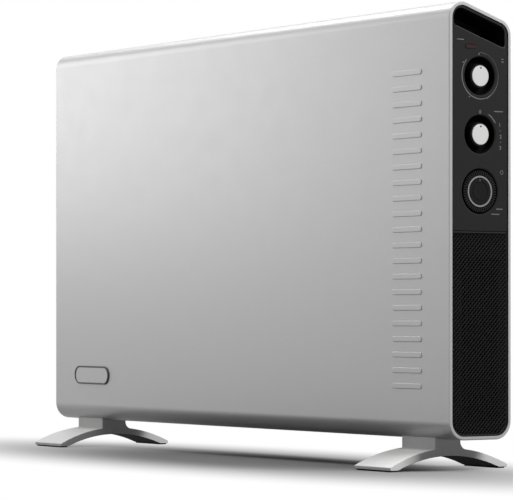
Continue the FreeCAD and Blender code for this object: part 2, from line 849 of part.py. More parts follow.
def control_body(name, label, z, width, height, depth, bush, bush_end):
    """A switch or timer case behind the bracket, with a bush through it for the turning shaft."""
    case = end_box(
        name + "_case", "right", BRACKET_BACK, f"{BRACKET_BACK} + {depth}",
        (f"-{width} / 2", f"{z} - {height} / 2"), (width, height),
    )
    nose = end_rod(name + "_nose", "right", bush, bush_end, f"{BRACKET_BACK} + {OVERCUT}", "0", z)
    bore = end_rod(
        name + "_bore", "right", "shaft_radius + running_gap", bush_end,
        f"{BRACKET_BACK} + shaft_reach + bush_gap", "0", z,
    )
    node(label, cut(name + "_cased", fuse(name + "_block", case, nose), bore))


def cap_seat():
    return "(fascia_recess - cap_rise + cap_thickness)"


def rotary_knob(name, z):
    """Grip, silver cap and shaft of a rotary control that stands in its well."""
    bottom = f"({WELL_FLOOR} - grip_lift)"
    face = f"({cap_seat()} - cap_thickness + cap_crown)"
    lip = f"({cap_seat()} - cap_lip)"
    roof = f"({cap_seat()} + socket_roof)"
    bush_top = f"({WELL_FLOOR} - bush_rise)"
    bush_room = f"({bush_top} - bush_gap)"
    bore = "(shaft_radius + running_gap)"
    grip = [
        (roof, "0"),
        (roof, bore),
        (bush_room, bore),
        (bush_room, "bush_radius + bush_gap"),
        (bottom, "bush_radius + bush_gap"),
        (bottom, GRIP_BASE),
        (lip, GRIP_TOP),
        (lip, "cap_radius + running_gap"),
        (cap_seat(), "cap_radius + running_gap"),
        (cap_seat(), "0"),
    ]
    node(name + "_grip", turned(name + "_handgrip", grip, z))
    cap = [
        (cap_seat(), "0"),
        (cap_seat(), "cap_radius"),
        (face, "cap_radius"),
        (f"{face} - cap_crown + cap_shoulder_drop", "cap_radius - cap_shoulder_inset"),
        (f"{face} - cap_crown", "cap_radius - cap_flat_inset"),
        (f"{face} - cap_crown", "0"),
    ]
    node(name + "_cap", turned(name + "_button", cap, z))
    tail = f"{BRACKET_BACK} + shaft_reach"
    spindle = end_rod(name + "_spindle", "right", "shaft_radius", f"{roof} + running_gap", tail, "0", z)
    node(name + "_shaft", spindle)


def timer():
    """A dial with tappets round it and a mode knob in its middle, on concentric axes."""
    bottom = f"({WELL_FLOOR} - dial_lift)"
    seat = f"({bottom} - dial_flange)"
    face = "fascia_recess"
    hub_top = f"({face} + ring_height)"
    recess = f"({face} + mode_height + mode_gap)"
    bush_end = f"({recess} + mode_gap)"
    hub = [
        (recess, "timer_bush_radius + running_gap"),
        (bottom, "timer_bush_radius + running_gap"),
        (bottom, DIAL_RADIUS),
        (seat, DIAL_RADIUS),
        (seat, "dial_hub_radius"),
        (hub_top, "dial_hub_radius"),
        (hub_top, f"{MODE_RADIUS} + mode_gap"),
        (recess, f"{MODE_RADIUS} + mode_gap"),
    ]
    node("timer_dial", turned("dial", hub, TIMER_Z))
    start, length = span("right", f"{hub_top} - tappet_rise", seat)
    tappet = box(
        "tappet", (start, "-tappet_width / 2", "dial_hub_radius + running_gap"),
        (length, "tappet_width", f"{DIAL_RADIUS} - dial_hub_radius - running_gap - tappet_rise"),
    )
    tappets = around("tappet_copy", tappet, V(1, 0, 0), int(value("tappet_count")))
    node("timer_tappets", place(group("tappet_ring", *tappets), z=TIMER_Z))
    ring = [
        (hub_top, RING_INNER),
        (hub_top, RING_OUTER),
        (face, RING_OUTER),
        (face, RING_INNER),
    ]
    node("timer_scale_ring", turned("scale_ring", ring, TIMER_Z))
    mode_back = f"({face} + mode_height)"
    roof = f"({face} + socket_roof)"
    knob = [
        (roof, "0"),
        (roof, "shaft_radius + running_gap"),
        (mode_back, "shaft_radius + running_gap"),
        (mode_back, MODE_RADIUS),
        (face, MODE_RADIUS),
        (face, "0"),
    ]
    node("timer_mode_knob", turned("mode_knob", knob, TIMER_Z))
    tail = f"{BRACKET_BACK} + shaft_reach"
    spindle = end_rod("mode_spindle", "right", "shaft_radius", f"{roof} + running_gap", tail, "0", TIMER_Z)
    node("timer_mode_spindle", spindle)
    control_body("timer_case", "timer_body", TIMER_Z, "timer_body_size", "timer_body_size",
                 "timer_body_depth", "timer_bush_radius", bush_end)


def controls():
    knob_cups()
    control_bracket()
    bush_end = f"({WELL_FLOOR} - bush_rise)"
    control_body("thermostat_case", "thermostat_body", THERMOSTAT_Z, "thermostat_body_size",
                 "thermostat_body_size", "thermostat_body_depth", "bush_radius", bush_end)
    rotary_knob("thermostat", THERMOSTAT_Z)
    control_body("selector_case", "selector_body", SELECTOR_Z, "selector_body_width", "selector_body_height",
                 "selector_body_depth", "bush_radius", bush_end)
    rotary_knob("selector", SELECTOR_Z)
    timer()
    start, length = span("right", "fascia_recess - lens_rise", FASCIA_BACK)
    _, y, z = lens_spot()
    node("pilot_lens", pill("lens", "X", "lens_length", "lens_height", length, (start, y, z)))


# Feet


def foot_screw_spots():
    """The foot screws in the casing's own plan, whose middle stands behind that of the feet."""
    return [
        (f"({sign} * {FOOT_X} + {k} * foot_screw_spread)", "-casing_setback")
        for sign in SIDES.values()
        for k in (-1, 1)
    ]


def arch_outline(sketch):
    """The foot from the side: flat tips joined by an arch of two arcs."""
    tip, flat = "foot_half_length", "(foot_half_length - foot_flat)"
    top = "(pad_height + foot_tip)"
    under_rise = "(foot_crown - pad_height)"
    over_rise = f"(foot_crown + foot_arch - {top})"
    spots = {
        "front": ("-" + tip, "pad_height"),
        "front_heel": ("-" + flat, "pad_height"),
        "rear_heel": (flat, "pad_height"),
        "rear": (tip, "pad_height"),
        "rear_top": (tip, top),
        "front_top": ("-" + tip, top),
    }
    at = {key: V(value(y), value(z), 0) for key, (y, z) in spots.items()}

    def bow(left, right, rise):
        height = V(0, value(rise), 0)
        curve = Part.Arc(at[left], (at[left] + at[right]) / 2 + height, at[right]).toShape().Curve
        angles = [math.atan2(p.y - curve.Center.y, p.x - curve.Center.x) for p in (at[right], at[left])]
        circle = Part.Circle(curve.Center, V(0, 0, 1), curve.Radius)
        return sketch.addGeometry(Part.ArcOfCircle(circle, *angles), False)

    def line(start, end):
        return sketch.addGeometry(Part.LineSegment(at[start], at[end]), False)

    sole_front = line("front", "front_heel")
    under = bow("front_heel", "rear_heel", under_rise)
    sole_rear = line("rear_heel", "rear")
    rear = line("rear", "rear_top")
    over = bow("front_top", "rear_top", over_rise)
    front = line("front_top", "front")
    joins = [
        (sole_front, 2, under, 2),
        (under, 1, sole_rear, 1),
        (sole_rear, 2, rear, 1),
        (rear, 2, over, 1),
        (over, 2, front, 1),
        (front, 2, sole_front, 1),
    ]
    for join in joins:
        sketch.addConstraint(Sketcher.Constraint("Coincident", *join))
    pin(sketch, sole_front, 1, spots["front"])
    pin(sketch, sole_front, 2, spots["front_heel"])
    pin(sketch, sole_rear, 1, spots["rear_heel"])
    pin(sketch, sole_rear, 2, spots["rear"])
    pin(sketch, rear, 2, spots["rear_top"])
    pin(sketch, front, 1, spots["front_top"])
    for arc, chord, rise in ((under, flat, under_rise), (over, tip, over_rise)):
        radius = f"({chord} * {chord} + {rise} * {rise}) / (2 * {rise})"
        index = sketch.addConstraint(Sketcher.Constraint("Radius", arc, value(radius)))
        sketch.setExpression(f"Constraints[{index}]", link(radius))


def foot(side):
    """An arched foot with a post shaped to the casing's underside, its pads, screws and nut plate."""
    name = side + "_leg"
    body = doc.addObject("PartDesign::Body", name + "_arch")
    sketch = sketch_in(body, "YZ_Plane")
    arch_outline(sketch)
    sketch.setExpression("AttachmentOffset.Base.z", link("-foot_tip_width / 2"))
    pad = body.newObject("PartDesign::Pad", name + "_arch_pad")
    pad.Profile = sketch
    bind(pad, Length="foot_tip_width")
    narrow, wide, near, far = "post_width / 2", "foot_tip_width / 2", "post_depth / 2", "foot_half_length"
    plan = [
        (f"-{wide}", f"-{far}"), (wide, f"-{far}"), (narrow, f"-{near}"), (narrow, near),
        (wide, far), (f"-{wide}", far), (f"-{narrow}", near), (f"-{narrow}", f"-{near}"),
    ]
    flare = prism(name + "_plan", "XY_Plane", plan, "0", "floor_gap")
    arch = common(name + "_flared", body, flare)
    square = [(f"{i} * {narrow}", f"{j} * {near}") for i, j in ((-1, -1), (1, -1), (1, 1), (-1, 1))]
    post = prism(name + "_post", "XY_Plane", square, "foot_crown", "floor_gap + bottom_corner - foot_crown",
                 dict.fromkeys(range(4), "post_corner"))
    outline, corners = section("0")
    belly = place(
        prism(name + "_belly", "YZ_Plane", outline, "-foot_tip_width", "2 * foot_tip_width", corners),
        y="casing_setback",
    )
    seat = "(floor_gap - foot_floor)"
    ways, screws = [], []
    for k in (-1, 1):
        x = f"{k} * foot_screw_spread"
        tail = f"floor_gap + sheet + nut_plate - {seat}"
        way = rod(f"{name}_way_{k}", "Z", "foot_screw_radius + running_gap", "2 * foot_floor", (x, "0", seat))
        pit = rod(f"{name}_pit_{k}", "Z", "foot_head_radius + grille_gap", seat, (x, "0", "0"))
        ways.extend((way, pit))
        head = rod(f"{name}_head_{k}", "Z", "foot_head_radius", "foot_head_height",
                   (x, "0", f"{seat} - foot_head_height"))
        shank = rod(f"{name}_shank_{k}", "Z", "foot_screw_radius", tail, (x, "0", seat))
        screws.append(fuse(f"{name}_screw_{k}", head, shank))
    shaped = cut(name + "_shaped", fuse(name + "_whole", arch, post), belly, *ways)
    middle = f"{SIDES[side]} * {FOOT_X}"
    node(side + "_foot", place(group(name, shaped), x=middle), setback="0")
    foot_screw_sets.append(place(group(name + "_screws", *screws), x=middle))
    for end, sign in (("front", -1), ("rear", 1)):
        inner = "(foot_half_length - foot_flat)"
        low = inner if sign > 0 else "-foot_half_length + pad_tip_inset"
        pad_wide = "(foot_tip_width - 2 * pad_inset)"
        pad_solid = box(
            f"{name}_{end}_rubber", (f"{middle} - {pad_wide} / 2", low, "0"),
            (pad_wide, "foot_flat - pad_tip_inset", "pad_height"),
        )
        node(f"{side}_{end}_pad", pad_solid, setback="0")
    front = f"(casing_setback - {FLAT_BOTTOM} + nut_plate_edge)"
    plate = box(
        name + "_nut_blank", ("-nut_plate_width / 2", front, "floor_gap + sheet"),
        ("nut_plate_width", f"nut_plate_rear - {front}", "nut_plate"),
    )
    threads = [
        rod(f"{name}_thread_{k}", "Z", "foot_screw_radius + running_gap", "2 * nut_plate",
            (f"{k} * foot_screw_spread", "0", "floor_gap"))
        for k in (-1, 1)
    ]
    nut = group(name + "_nut", cut(name + "_nuts", plate, *threads))
    node(side + "_nut_plate", place(nut, x=middle), setback="0")


# Inside


def bulkhead(side):
    """The sheet wall between the heating chamber and one end, open where the fan draws air."""
    name = side + "_wall"
    plate = end_prism(name + "_plate", side, section(BULKHEAD_INSET), BULKHEAD, BULKHEAD_BACK)
    through = (f"{BULKHEAD} - {OVERCUT}", f"{BULKHEAD_BACK} + {OVERCUT}")
    low = f"({ROD_Z} + air_window_rise)"
    window = end_box(
        name + "_window", side, *through,
        ("-air_window_half", low), ("2 * air_window_half", f"{FAN_TOP} - {low}"),
    )
    holes = [
        end_rod(f"{name}_hole_{k}", side, "insulator_radius + running_gap", *through,
                f"{k} * rod_spread", ROD_Z)
        for k in (-1, 1)
    ]
    node(side + "_bulkhead", cut(name, plate, window, *holes))


def heater():
    reach = f"({END} - {BULKHEAD} + rod_tail)"
    for name, sign in (("front", -1), ("rear", 1)):
        node(name + "_heater_rod", rod(name + "_rod", "X", "rod_radius", f"2 * {reach}",
                                       (f"-{reach}", f"{sign} * rod_spread", ROD_Z)))
    count = int(value(f"2 * ({CHAMBER_END} - fin_margin) / fin_pitch")) + 1
    half = "(casing_depth / 2 - fin_side_gap)"
    blank = box("fin_blank", ("-fin_sheet / 2", f"-{half}", f"{ROD_Z} - fin_half_height"),
                ("fin_sheet", f"2 * {half}", "2 * fin_half_height"))
    holes = [
        rod(f"fin_hole_{k}", "X", "rod_radius + running_gap", "3 * fin_sheet",
            ("-1.5 * fin_sheet", f"{k} * rod_spread", ROD_Z))
        for k in (-1, 1)
    ]
    fin = cut("fin", blank, *holes)
    node("heater_fins", along("fins", fin, "x", "fin_pitch", count, f"-fin_pitch * {(count - 1) / 2}"))
    sleeves = []
    for side in SIDES:
        middle = f"({BULKHEAD} + bulkhead_sheet / 2)"
        near, far = f"{middle} - insulator_length / 2", f"{middle} + insulator_length / 2"
        for k in (-1, 1):
            spot = (f"{k} * rod_spread", ROD_Z)
            outer = end_rod(f"{side}_sleeve_{k}", side, "insulator_radius", near, far, *spot)
            bore = end_rod(f"{side}_sleeve_bore_{k}", side, "rod_radius + running_gap", near, far, *spot)
            sleeves.append(cut(f"{side}_insulator_{k}", outer, bore))
    node("rod_insulators", group("insulators", *sleeves))


def electrical():
    node("thermal_cutout", end_rod("cutout", "right", "cutout_radius", BULKHEAD_BACK,
                                   f"{BULKHEAD_BACK} + cutout_height", "0", f"{FAN_TOP} + cutout_rise"))
    node("terminal_block", end_box(
        "terminals", "right", f"{BULKHEAD} - terminal_depth", BULKHEAD,
        ("-terminal_width / 2", f"{SEAM_Z} + terminal_rise"), ("terminal_width", "terminal_height"),
    ))


def fan(side):
    """A tangential blower with an upright shaft, in a housing open to the mesh and to the chamber."""
    name = side + "_fan"
    axis_x = f"({SIDES[side]} * ({END} - {FAN_AXIS}))"
    half = HOUSING_HALF
    tall = f"({FAN_TOP} - {FAN_BOTTOM})"
    outer = end_box(
        name + "_outer", side, FRAME_BACK, HOUSING_BACK,
        (f"-{half}", FAN_BOTTOM), (f"2 * {half}", tall),
    )
    inner = end_box(
        name + "_inner", side, f"{FRAME_BACK} - {OVERCUT}", f"{HOUSING_BACK} + {OVERCUT}",
        (f"housing_wall - {half}", f"{FAN_BOTTOM} + housing_wall"),
        (f"2 * ({half} - housing_wall)", f"{tall} - 2 * housing_wall"),
    )
    seat = rod(name + "_seat", "Z", "fan_bearing_radius + running_gap", "3 * housing_wall",
               (axis_x, "0", f"{FAN_BOTTOM} - housing_wall"))
    way = rod(name + "_way", "Z", "2 * fan_shaft_radius", "3 * housing_wall",
              (axis_x, "0", f"{FAN_TOP} - 2 * housing_wall"))
    node(side + "_fan_housing", cut(name + "_cowl", outer, inner, seat, way))

    bore = "fan_shaft_radius + running_gap"
    can = rod(name + "_can", "Z", "fan_motor_radius", "fan_motor_height", (axis_x, "0", FAN_TOP))
    socket = rod(name + "_socket", "Z", bore, "fan_motor_height - fan_motor_roof", (axis_x, "0", FAN_TOP))
    node(side + "_fan_motor", cut(name + "_bored_can", can, socket))

    low = f"({FAN_BOTTOM} - fan_bearing_drop)"
    bush_tall = "(fan_bearing_drop + housing_wall)"
    bush = rod(name + "_bush", "Z", "fan_bearing_radius", bush_tall, (axis_x, "0", low))
    bush_bore = rod(name + "_bush_bore", "Z", bore, bush_tall, (axis_x, "0", low))
    node(side + "_fan_bearing", cut(name + "_bored_bush", bush, bush_bore))

    shaft_low = f"({low} + running_gap)"
    shaft_top = f"({FAN_TOP} + fan_motor_height - fan_motor_roof - bush_gap)"
    node(side + "_fan_shaft", rod(name + "_spindle", "Z", "fan_shaft_radius", f"{shaft_top} - {shaft_low}",
                                  (axis_x, "0", shaft_low)))

    wheel_low = f"({FAN_BOTTOM} + housing_wall + impeller_gap)"
    wheel_tall = f"({tall} - 2 * housing_wall - 2 * impeller_gap)"
    blade = box(
        name + "_blade", (f"{IMPELLER_RADIUS} - blade_depth", "-blade_sheet / 2", "0"),
        ("blade_depth - blade_sheet", "blade_sheet", wheel_tall),
    )
    blades = around(name + "_blades", blade, V(0, 0, 1), int(value("blade_count")))
    discs = [
        rod(f"{name}_disc_{k}", "Z", IMPELLER_RADIUS, "impeller_disc",
            ("0", "0", f"{k} * ({wheel_tall} - impeller_disc)"))
        for k in (0, 1)
    ]
    hole = rod(name + "_hub_bore", "Z", bore, wheel_tall, ("0", "0", "0"))
    wheel = cut(name + "_wheel", fuse(name + "_cage", *discs, *blades), hole)
    node(side + "_fan_impeller", place(group(name + "_rotor", wheel), x=axis_x, z=wheel_low))


# Build every sub-part, check it and write it

foot_screw_sets = []
casing_wrap()
casing_grilles()
badge_plate()
rear_panel()
cord_gland()
for end in SIDES:
    end_frame(end)
    handle_cup(end)
    fascia(end)
    mesh_grille(end)
    foot(end)
    bulkhead(end)
    fan(end)
node("foot_screws", group("foot_screw_set", *foot_screw_sets), setback="0")
controls()
heater()
electrical()
doc.recompute()

for obj in doc.Objects:
    if "Invalid" in obj.State or "Error" in obj.State:
        raise RuntimeError(f"{obj.Name} failed: {obj.State}")
for sub_part in nodes:
    if sub_part.Shape.isNull() or not sub_part.Shape.isValid() or not sub_part.Shape.Solids:
        raise RuntimeError(f"{sub_part.Label} has no sound solid")

os.makedirs("parts", exist_ok=True)
for sub_part in nodes:
    sub_part.Shape.exportStep(f"parts/{sub_part.Label}.step")
print(len(nodes), "sub-parts written")
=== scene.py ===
# %% [markdown]
# # A slim convector heater
# The heater is a tall, thin box of painted sheet steel on two arched feet. Its right end holds a
# dark panel with a finger recess, two knobs and a timer dial, and below that a fine mesh.
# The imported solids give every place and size. Each step here takes one piece, thinks about
# what it is on the real heater, and gives it the shape and the finish that the eye expects.

# %% Load the frame
import json
import math

import bmesh
import bpy
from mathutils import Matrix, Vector


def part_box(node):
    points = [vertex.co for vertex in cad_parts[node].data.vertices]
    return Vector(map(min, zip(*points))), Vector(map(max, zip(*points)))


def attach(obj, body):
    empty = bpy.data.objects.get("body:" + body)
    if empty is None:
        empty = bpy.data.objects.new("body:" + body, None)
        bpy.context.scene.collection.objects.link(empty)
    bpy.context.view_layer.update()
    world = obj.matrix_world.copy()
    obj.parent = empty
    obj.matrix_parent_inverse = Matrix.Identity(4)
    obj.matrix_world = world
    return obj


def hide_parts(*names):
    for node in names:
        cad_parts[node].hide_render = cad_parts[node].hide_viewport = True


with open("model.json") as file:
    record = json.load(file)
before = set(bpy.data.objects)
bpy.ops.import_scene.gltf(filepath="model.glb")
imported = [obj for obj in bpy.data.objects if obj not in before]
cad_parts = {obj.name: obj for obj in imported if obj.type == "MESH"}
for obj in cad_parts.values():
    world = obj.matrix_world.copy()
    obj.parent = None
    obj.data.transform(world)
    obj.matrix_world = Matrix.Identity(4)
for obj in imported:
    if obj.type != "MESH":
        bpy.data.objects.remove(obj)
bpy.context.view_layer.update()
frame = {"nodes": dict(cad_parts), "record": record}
MM = 0.001
X, Y, Z = 0, 1, 2

# %% [markdown]
# ## The camera
# The picture was taken level, with a long lens, and its upright edges stay upright. A camera that
# is tilted would make them lean together. A view camera slides its lens up instead, and Blender's
# `shift_y` is the same slide. So the camera isn't tilted: it stands low, looks straight ahead, and
# the shift brings the heater into the frame.

# %% Camera
PHOTO_WIDTH = 513
FOCAL_PIXELS = 2900
HORIZON_BELOW_MIDDLE = 61.365
EYE = (2.5379, -1.7427, 0.15346)
TURN_LEFT = math.radians(55.456)
FAR_CLIP = 50

bpy.ops.object.camera_add(location=EYE, rotation=(math.pi / 2, 0, TURN_LEFT))
camera = bpy.context.object
camera.data.lens = camera.data.sensor_width * FOCAL_PIXELS / PHOTO_WIDTH
camera.data.shift_y = HORIZON_BELOW_MIDDLE / PHOTO_WIDTH
camera.data.clip_end = FAR_CLIP
bpy.context.scene.camera = camera
bpy.context.scene.view_settings.view_transform = "Standard"
print(f"camera: {camera.data.lens:.0f} mm lens, shifted {camera.data.shift_y:.3f}")

# %% [markdown]
# ## Floor and backdrop
# The heater stands on paper in a white room. A curved backdrop could be modelled, but one big plane
# does it too, with a material that changes with the distance from the heater. Near the feet the
# paper is a dark matt grey in a soft oval pool a little in front of the heater: a painted shadow,
# on which the lamps cast a true soft shadow too. Further out it glows at exactly white, which hides
# the horizon. That is what the lens and shiny surfaces see. Light that bounces softly meets a darker
# paper, so the floor throws no glare up at the heater.

# %% Node helpers
def node(tree, kind, **settings):
    """A shader node with its properties and unlinked sockets set by name."""
    made = tree.nodes.new("ShaderNode" + kind)
    for key, value in settings.items():
        if hasattr(made, key):
            setattr(made, key, value)
        else:
            made.inputs[key.replace("_", " ").title()].default_value = value
    return made


def larger(tree, one, other):
    """The larger of two sockets' numbers."""
    made = node(tree, "Math", operation="MAXIMUM")
    tree.links.new(one, made.inputs[0])
    tree.links.new(other, made.inputs[1])
    return made.outputs[0]


def shader_mix(tree, share, first, second):
    """A Mix Shader between two shader nodes."""
    made = node(tree, "MixShader")
    for socket, source in zip(made.inputs, (share, first.outputs[0], second.outputs[0])):
        tree.links.new(source, socket)
    return made


def seen_directly(tree):
    """1 for rays from the lens and for mirror and glass rays, 0 for light that bounces softly."""
    path = node(tree, "LightPath")
    shiny = larger(tree, path.outputs["Is Glossy Ray"], path.outputs["Is Transmission Ray"])
    return larger(tree, path.outputs["Is Camera Ray"], shiny)


def matt_paper(tree, grey_level):
    """A plain matt shader of one grey."""
    made = node(tree, "BsdfDiffuse")
    made.inputs["Color"].default_value = (grey_level, grey_level, grey_level, 1)
    return made


print("node helpers for the floor, the room and the finishes")

# %% Floor
FLOOR_SIZE = 16
# The grey of the painted shadow pool round the heater.
SHADOW_POOL_GREY = 0.22
PAPER_BOUNCE = 0.12
SHADOW_MIDDLE = (0.1, -0.06)
SHADOW_STRETCH = 0.3
SHADOW_REACH = 0.05
WHITE_FROM = 0.24

bpy.ops.object.select_all(action="DESELECT")
bpy.ops.mesh.primitive_plane_add(size=FLOOR_SIZE)
floor = bpy.context.object
floor.name = "floor"
paper = bpy.data.materials.new("floor_paper")
paper.use_nodes = True
tree = paper.node_tree
tree.nodes.clear()
spread = node(tree, "Mapping")
spread.inputs["Location"].default_value = (-SHADOW_MIDDLE[0] * SHADOW_STRETCH, -SHADOW_MIDDLE[1], 0)
spread.inputs["Scale"].default_value = (SHADOW_STRETCH, 1, 1)
tree.links.new(node(tree, "TexCoord").outputs["Object"], spread.inputs["Vector"])
distance = node(tree, "VectorMath", operation="LENGTH")
tree.links.new(spread.outputs[0], distance.inputs[0])
fade = node(tree, "MapRange", interpolation_type="SMOOTHSTEP")
fade.inputs["From Min"].default_value = SHADOW_REACH
fade.inputs["From Max"].default_value = WHITE_FROM
tree.links.new(distance.outputs["Value"], fade.inputs["Value"])
# Painted shadow: the dark matt grey near the heater is a shadow pool painted into the paper, fading to
# the white glow further out.
shown = shader_mix(tree, fade.outputs[0], matt_paper(tree, SHADOW_POOL_GREY), node(tree, "Emission"))
shown = shader_mix(tree, seen_directly(tree), matt_paper(tree, PAPER_BOUNCE), shown)
tree.links.new(shown.outputs[0], node(tree, "OutputMaterial").inputs["Surface"])
floor.data.materials.append(paper)
print("floor: paper grey", SHADOW_POOL_GREY, "near the heater, white further out")

# %% [markdown]
# ## Light
# Silver paint shows what stands around it, so the studio matters as much as the colour. A point
# lamp would burn a spot into it, so every lamp is a square area lamp, like a softbox. One stands
# on the left, in front, and gives the front its slow fade from bright at the left to grey at the
# right. A small one high on the left draws the light line along the top edge. A wide one overhead
# makes the shadow soft. The last one, on the right, lights the end and the rim. It is hidden from
# reflections, because the paint would mirror it as a white patch.
# The room itself is a soft grey light, with white only where the lens or a reflection looks.

# %% Room light and lamps
ROOM_LIGHT = 0.1

world = bpy.data.worlds.new("studio")
bpy.context.scene.world = world
world.use_nodes = True
tree = world.node_tree
tree.nodes.clear()
soft = node(tree, "Background")
soft.inputs["Strength"].default_value = ROOM_LIGHT
white = node(tree, "Background")
for room in (soft, white):
    room.inputs["Color"].default_value = (1, 1, 1, 1)
shown = shader_mix(tree, seen_directly(tree), soft, white)
tree.links.new(shown.outputs[0], node(tree, "OutputWorld").inputs["Surface"])


def soft_lamp(name, place, aim, size, watts, mirrored=True):
    """A square area lamp that faces a point. Shiny surfaces can be kept from mirroring it."""
    bpy.ops.object.light_add(type="AREA", location=place)
    lamp = bpy.context.object
    lamp.name = name
    lamp.rotation_euler = (Vector(aim) - Vector(place)).to_track_quat("-Z", "Y").to_euler()
    lamp.data.size = size
    lamp.data.energy = watts
    lamp.visible_glossy = mirrored


soft_lamp("left_softbox", place=(-1.45, -0.7, 0.7), aim=(-0.3, 0, 0.33), size=0.85, watts=6.2)
soft_lamp("left_edge_light", place=(-1.3, -0.1, 1.85), aim=(0, 0, 0.44), size=0.6, watts=8)
soft_lamp("overhead", place=(-0.1, -0.1, 2.0), aim=(0, 0, 0), size=1.7, watts=28)
soft_lamp(
    "right_softbox", place=(1.0, 0.35, 0.95), aim=(0.37, 0, 0.4), size=0.45, watts=16, mirrored=False
)

# %% [markdown]
# ## A small bench of tools
# Modelling by hand in Blender is always the same round: add a primitive, go into edit mode, select
# something, run an operator, come back. These helpers name those moves. A test picks corners, edges
# or faces by where they are or which way they look, as a hand would click them.

# %% Primitives
LAID_ALONG = ((0, math.pi / 2, 0), (-math.pi / 2, 0, 0), (0, 0, 0))


def alone(obj):
    """Make one object the only selected one."""
    bpy.ops.object.select_all(action="DESELECT")
    bpy.context.view_layer.objects.active = obj
    obj.select_set(True)
    return obj


def settle(name):
    """Name the primitive just added and put its place and turn into its mesh."""
    obj = alone(bpy.context.object)
    obj.name = name
    obj.data.name = name
    bpy.ops.object.transform_apply(location=True, rotation=True, scale=True)
    return obj


def block(name, low, high):
    """A cube primitive stretched between two corners."""
    low, high = Vector(map(min, low, high)), Vector(map(max, low, high))
    bpy.ops.object.select_all(action="DESELECT")
    bpy.ops.mesh.primitive_cube_add(size=1, location=(low + high) / 2)
    bpy.context.object.scale = high - low
    return settle(name)


def disc(name, start, axis, radius, length, sides=64):
    """A cylinder primitive that grows from a point along an axis."""
    reach = Vector((0, 0, 0))
    reach[axis] = length / 2
    bpy.ops.object.select_all(action="DESELECT")
    bpy.ops.mesh.primitive_cylinder_add(
        vertices=sides,
        radius=radius,
        depth=abs(length),
        location=Vector(start) + reach,
        rotation=LAID_ALONG[axis],
    )
    return settle(name)


print("primitives: block and disc")

# %% Selecting by place and direction
STRAIGHT = 0.999
FACING = 0.99
SHARP = 0.5
CLOSE = 0.02 * MM


def near(one, other, slack=CLOSE):
    """True for two numbers that are the same but for rounding."""
    return abs(one - other) < slack


def middle(item):
    """The middle of a corner, edge or face."""
    corners = [item] if isinstance(item, bmesh.types.BMVert) else item.verts
    return sum((v.co for v in corners), Vector()) / len(corners)


def anything(item):
    """A test that every corner, edge and face passes."""
    return True


def runs_along(edge, axis):
    """True for an edge parallel to an axis."""
    return abs((edge.verts[1].co - edge.verts[0].co).normalized()[axis]) > STRAIGHT


def faces(face, axis, way=1):
    """True for a face that looks straight along an axis, or against it where way is -1."""
    return way * face.normal[axis] > FACING


def ridge(y, z):
    """A test for the edge along X that goes through a place seen from the end."""
    return lambda e: runs_along(e, X) and near(middle(e).y, y) and near(middle(e).z, z)


def pick(obj, kind, test):
    """Go into edit mode with only the corners, edges or faces selected that pass a test."""
    alone(obj)
    bpy.ops.object.mode_set(mode="EDIT")
    bpy.ops.mesh.select_mode(type=kind)
    bpy.ops.mesh.select_all(action="DESELECT")
    mesh = bmesh.from_edit_mesh(obj.data)
    for item in {"VERT": mesh.verts, "EDGE": mesh.edges, "FACE": mesh.faces}[kind]:
        if test(item):
            item.select_set(True)
    mesh.select_flush_mode()
    bmesh.update_edit_mesh(obj.data)


def done():
    """Come back from edit mode."""
    bpy.ops.object.mode_set(mode="OBJECT")


print("tests: runs_along, faces and ridge")

# %% Shaping in edit mode
NEARLY_HALF = 0.4999
ROUND_END_STEPS = 8
CORNER_STEPS = 12


def slide(value):
    """Move what is selected."""
    bpy.ops.transform.translate(value=value)


def inset_faces(width, depth=0.0, each=False):
    """Draw a border inside the selected faces, together or each by itself, and push them in."""
    bpy.ops.mesh.inset(thickness=width, depth=depth, use_individual=each)


def extrude_faces(value):
    """Pull the selected faces out and leave walls behind them."""
    bpy.ops.mesh.extrude_region_move(TRANSFORM_OT_translate={"value": value})


def move(obj, kind, test, value):
    """Pick and slide in one go."""
    pick(obj, kind, test)
    slide(value)
    done()


def soften(obj, test, offset, segments=3, profile=0.5):
    """Round the edges that pass a test."""
    pick(obj, "EDGE", test)
    bpy.ops.mesh.bevel(
        offset=offset, offset_type="OFFSET", segments=segments, profile=profile, affect="EDGES"
    )
    done()


def ease(obj, axis, level, size, segments=3):
    """Round every sharp edge that lies in a plane across an axis."""
    def in_plane(edge):
        return all(near(v.co[axis], level) for v in edge.verts) and edge.calc_face_angle(0) > SHARP

    soften(obj, in_plane, size, segments)


def round_corner(obj, test, radius, turn, segments=CORNER_STEPS):
    """Round a corner to a true arc; turn is how far the outline turns there."""
    profile = (1 - 0.5 / (1 + math.cos(turn / 2))) ** 2
    soften(obj, test, radius * math.tan(turn / 2), segments, profile)


def round_ends(obj, axis, height):
    """Round a bar's four edges along an axis until they meet, and merge the corners that double up."""
    soften(obj, lambda e: runs_along(e, axis), height * NEARLY_HALF, ROUND_END_STEPS)
    pick(obj, "VERT", anything)
    bpy.ops.mesh.remove_doubles(threshold=CLOSE)
    done()


def copy_round(obj, count, y, z):
    """Copy a shape round an axis along X until the ring is full."""
    pick(obj, "FACE", anything)
    bpy.ops.mesh.spin(
        steps=count - 1,
        dupli=True,
        angle=2 * math.pi * (count - 1) / count,
        center=(0, y, z),
        axis=(1, 0, 0),
    )
    done()


print("shaping: soften, ease, round_corner, round_ends and copy_round")

# %% Modifiers, copies and finished pieces
def modify(obj, kind, **settings):
    """Add a modifier, set it and apply it."""
    alone(obj)
    modifier = obj.modifiers.new(kind.title(), kind)
    for key, value in settings.items():
        setattr(modifier, key, value)
    bpy.ops.object.modifier_apply(modifier=modifier.name)


def carve(obj, operation, *others):
    """Join other solids to an object, or cut them out of it, and throw the tools away."""
    for other in others:
        modify(obj, "BOOLEAN", operation=operation, solver="EXACT", object=other)
        bpy.data.objects.remove(other)


def ease_all(obj, size, segments, degrees):
    """Round every edge that is sharper than an angle."""
    modify(
        obj,
        "BEVEL",
        width=size,
        segments=segments,
        limit_method="ANGLE",
        angle_limit=math.radians(degrees),
    )


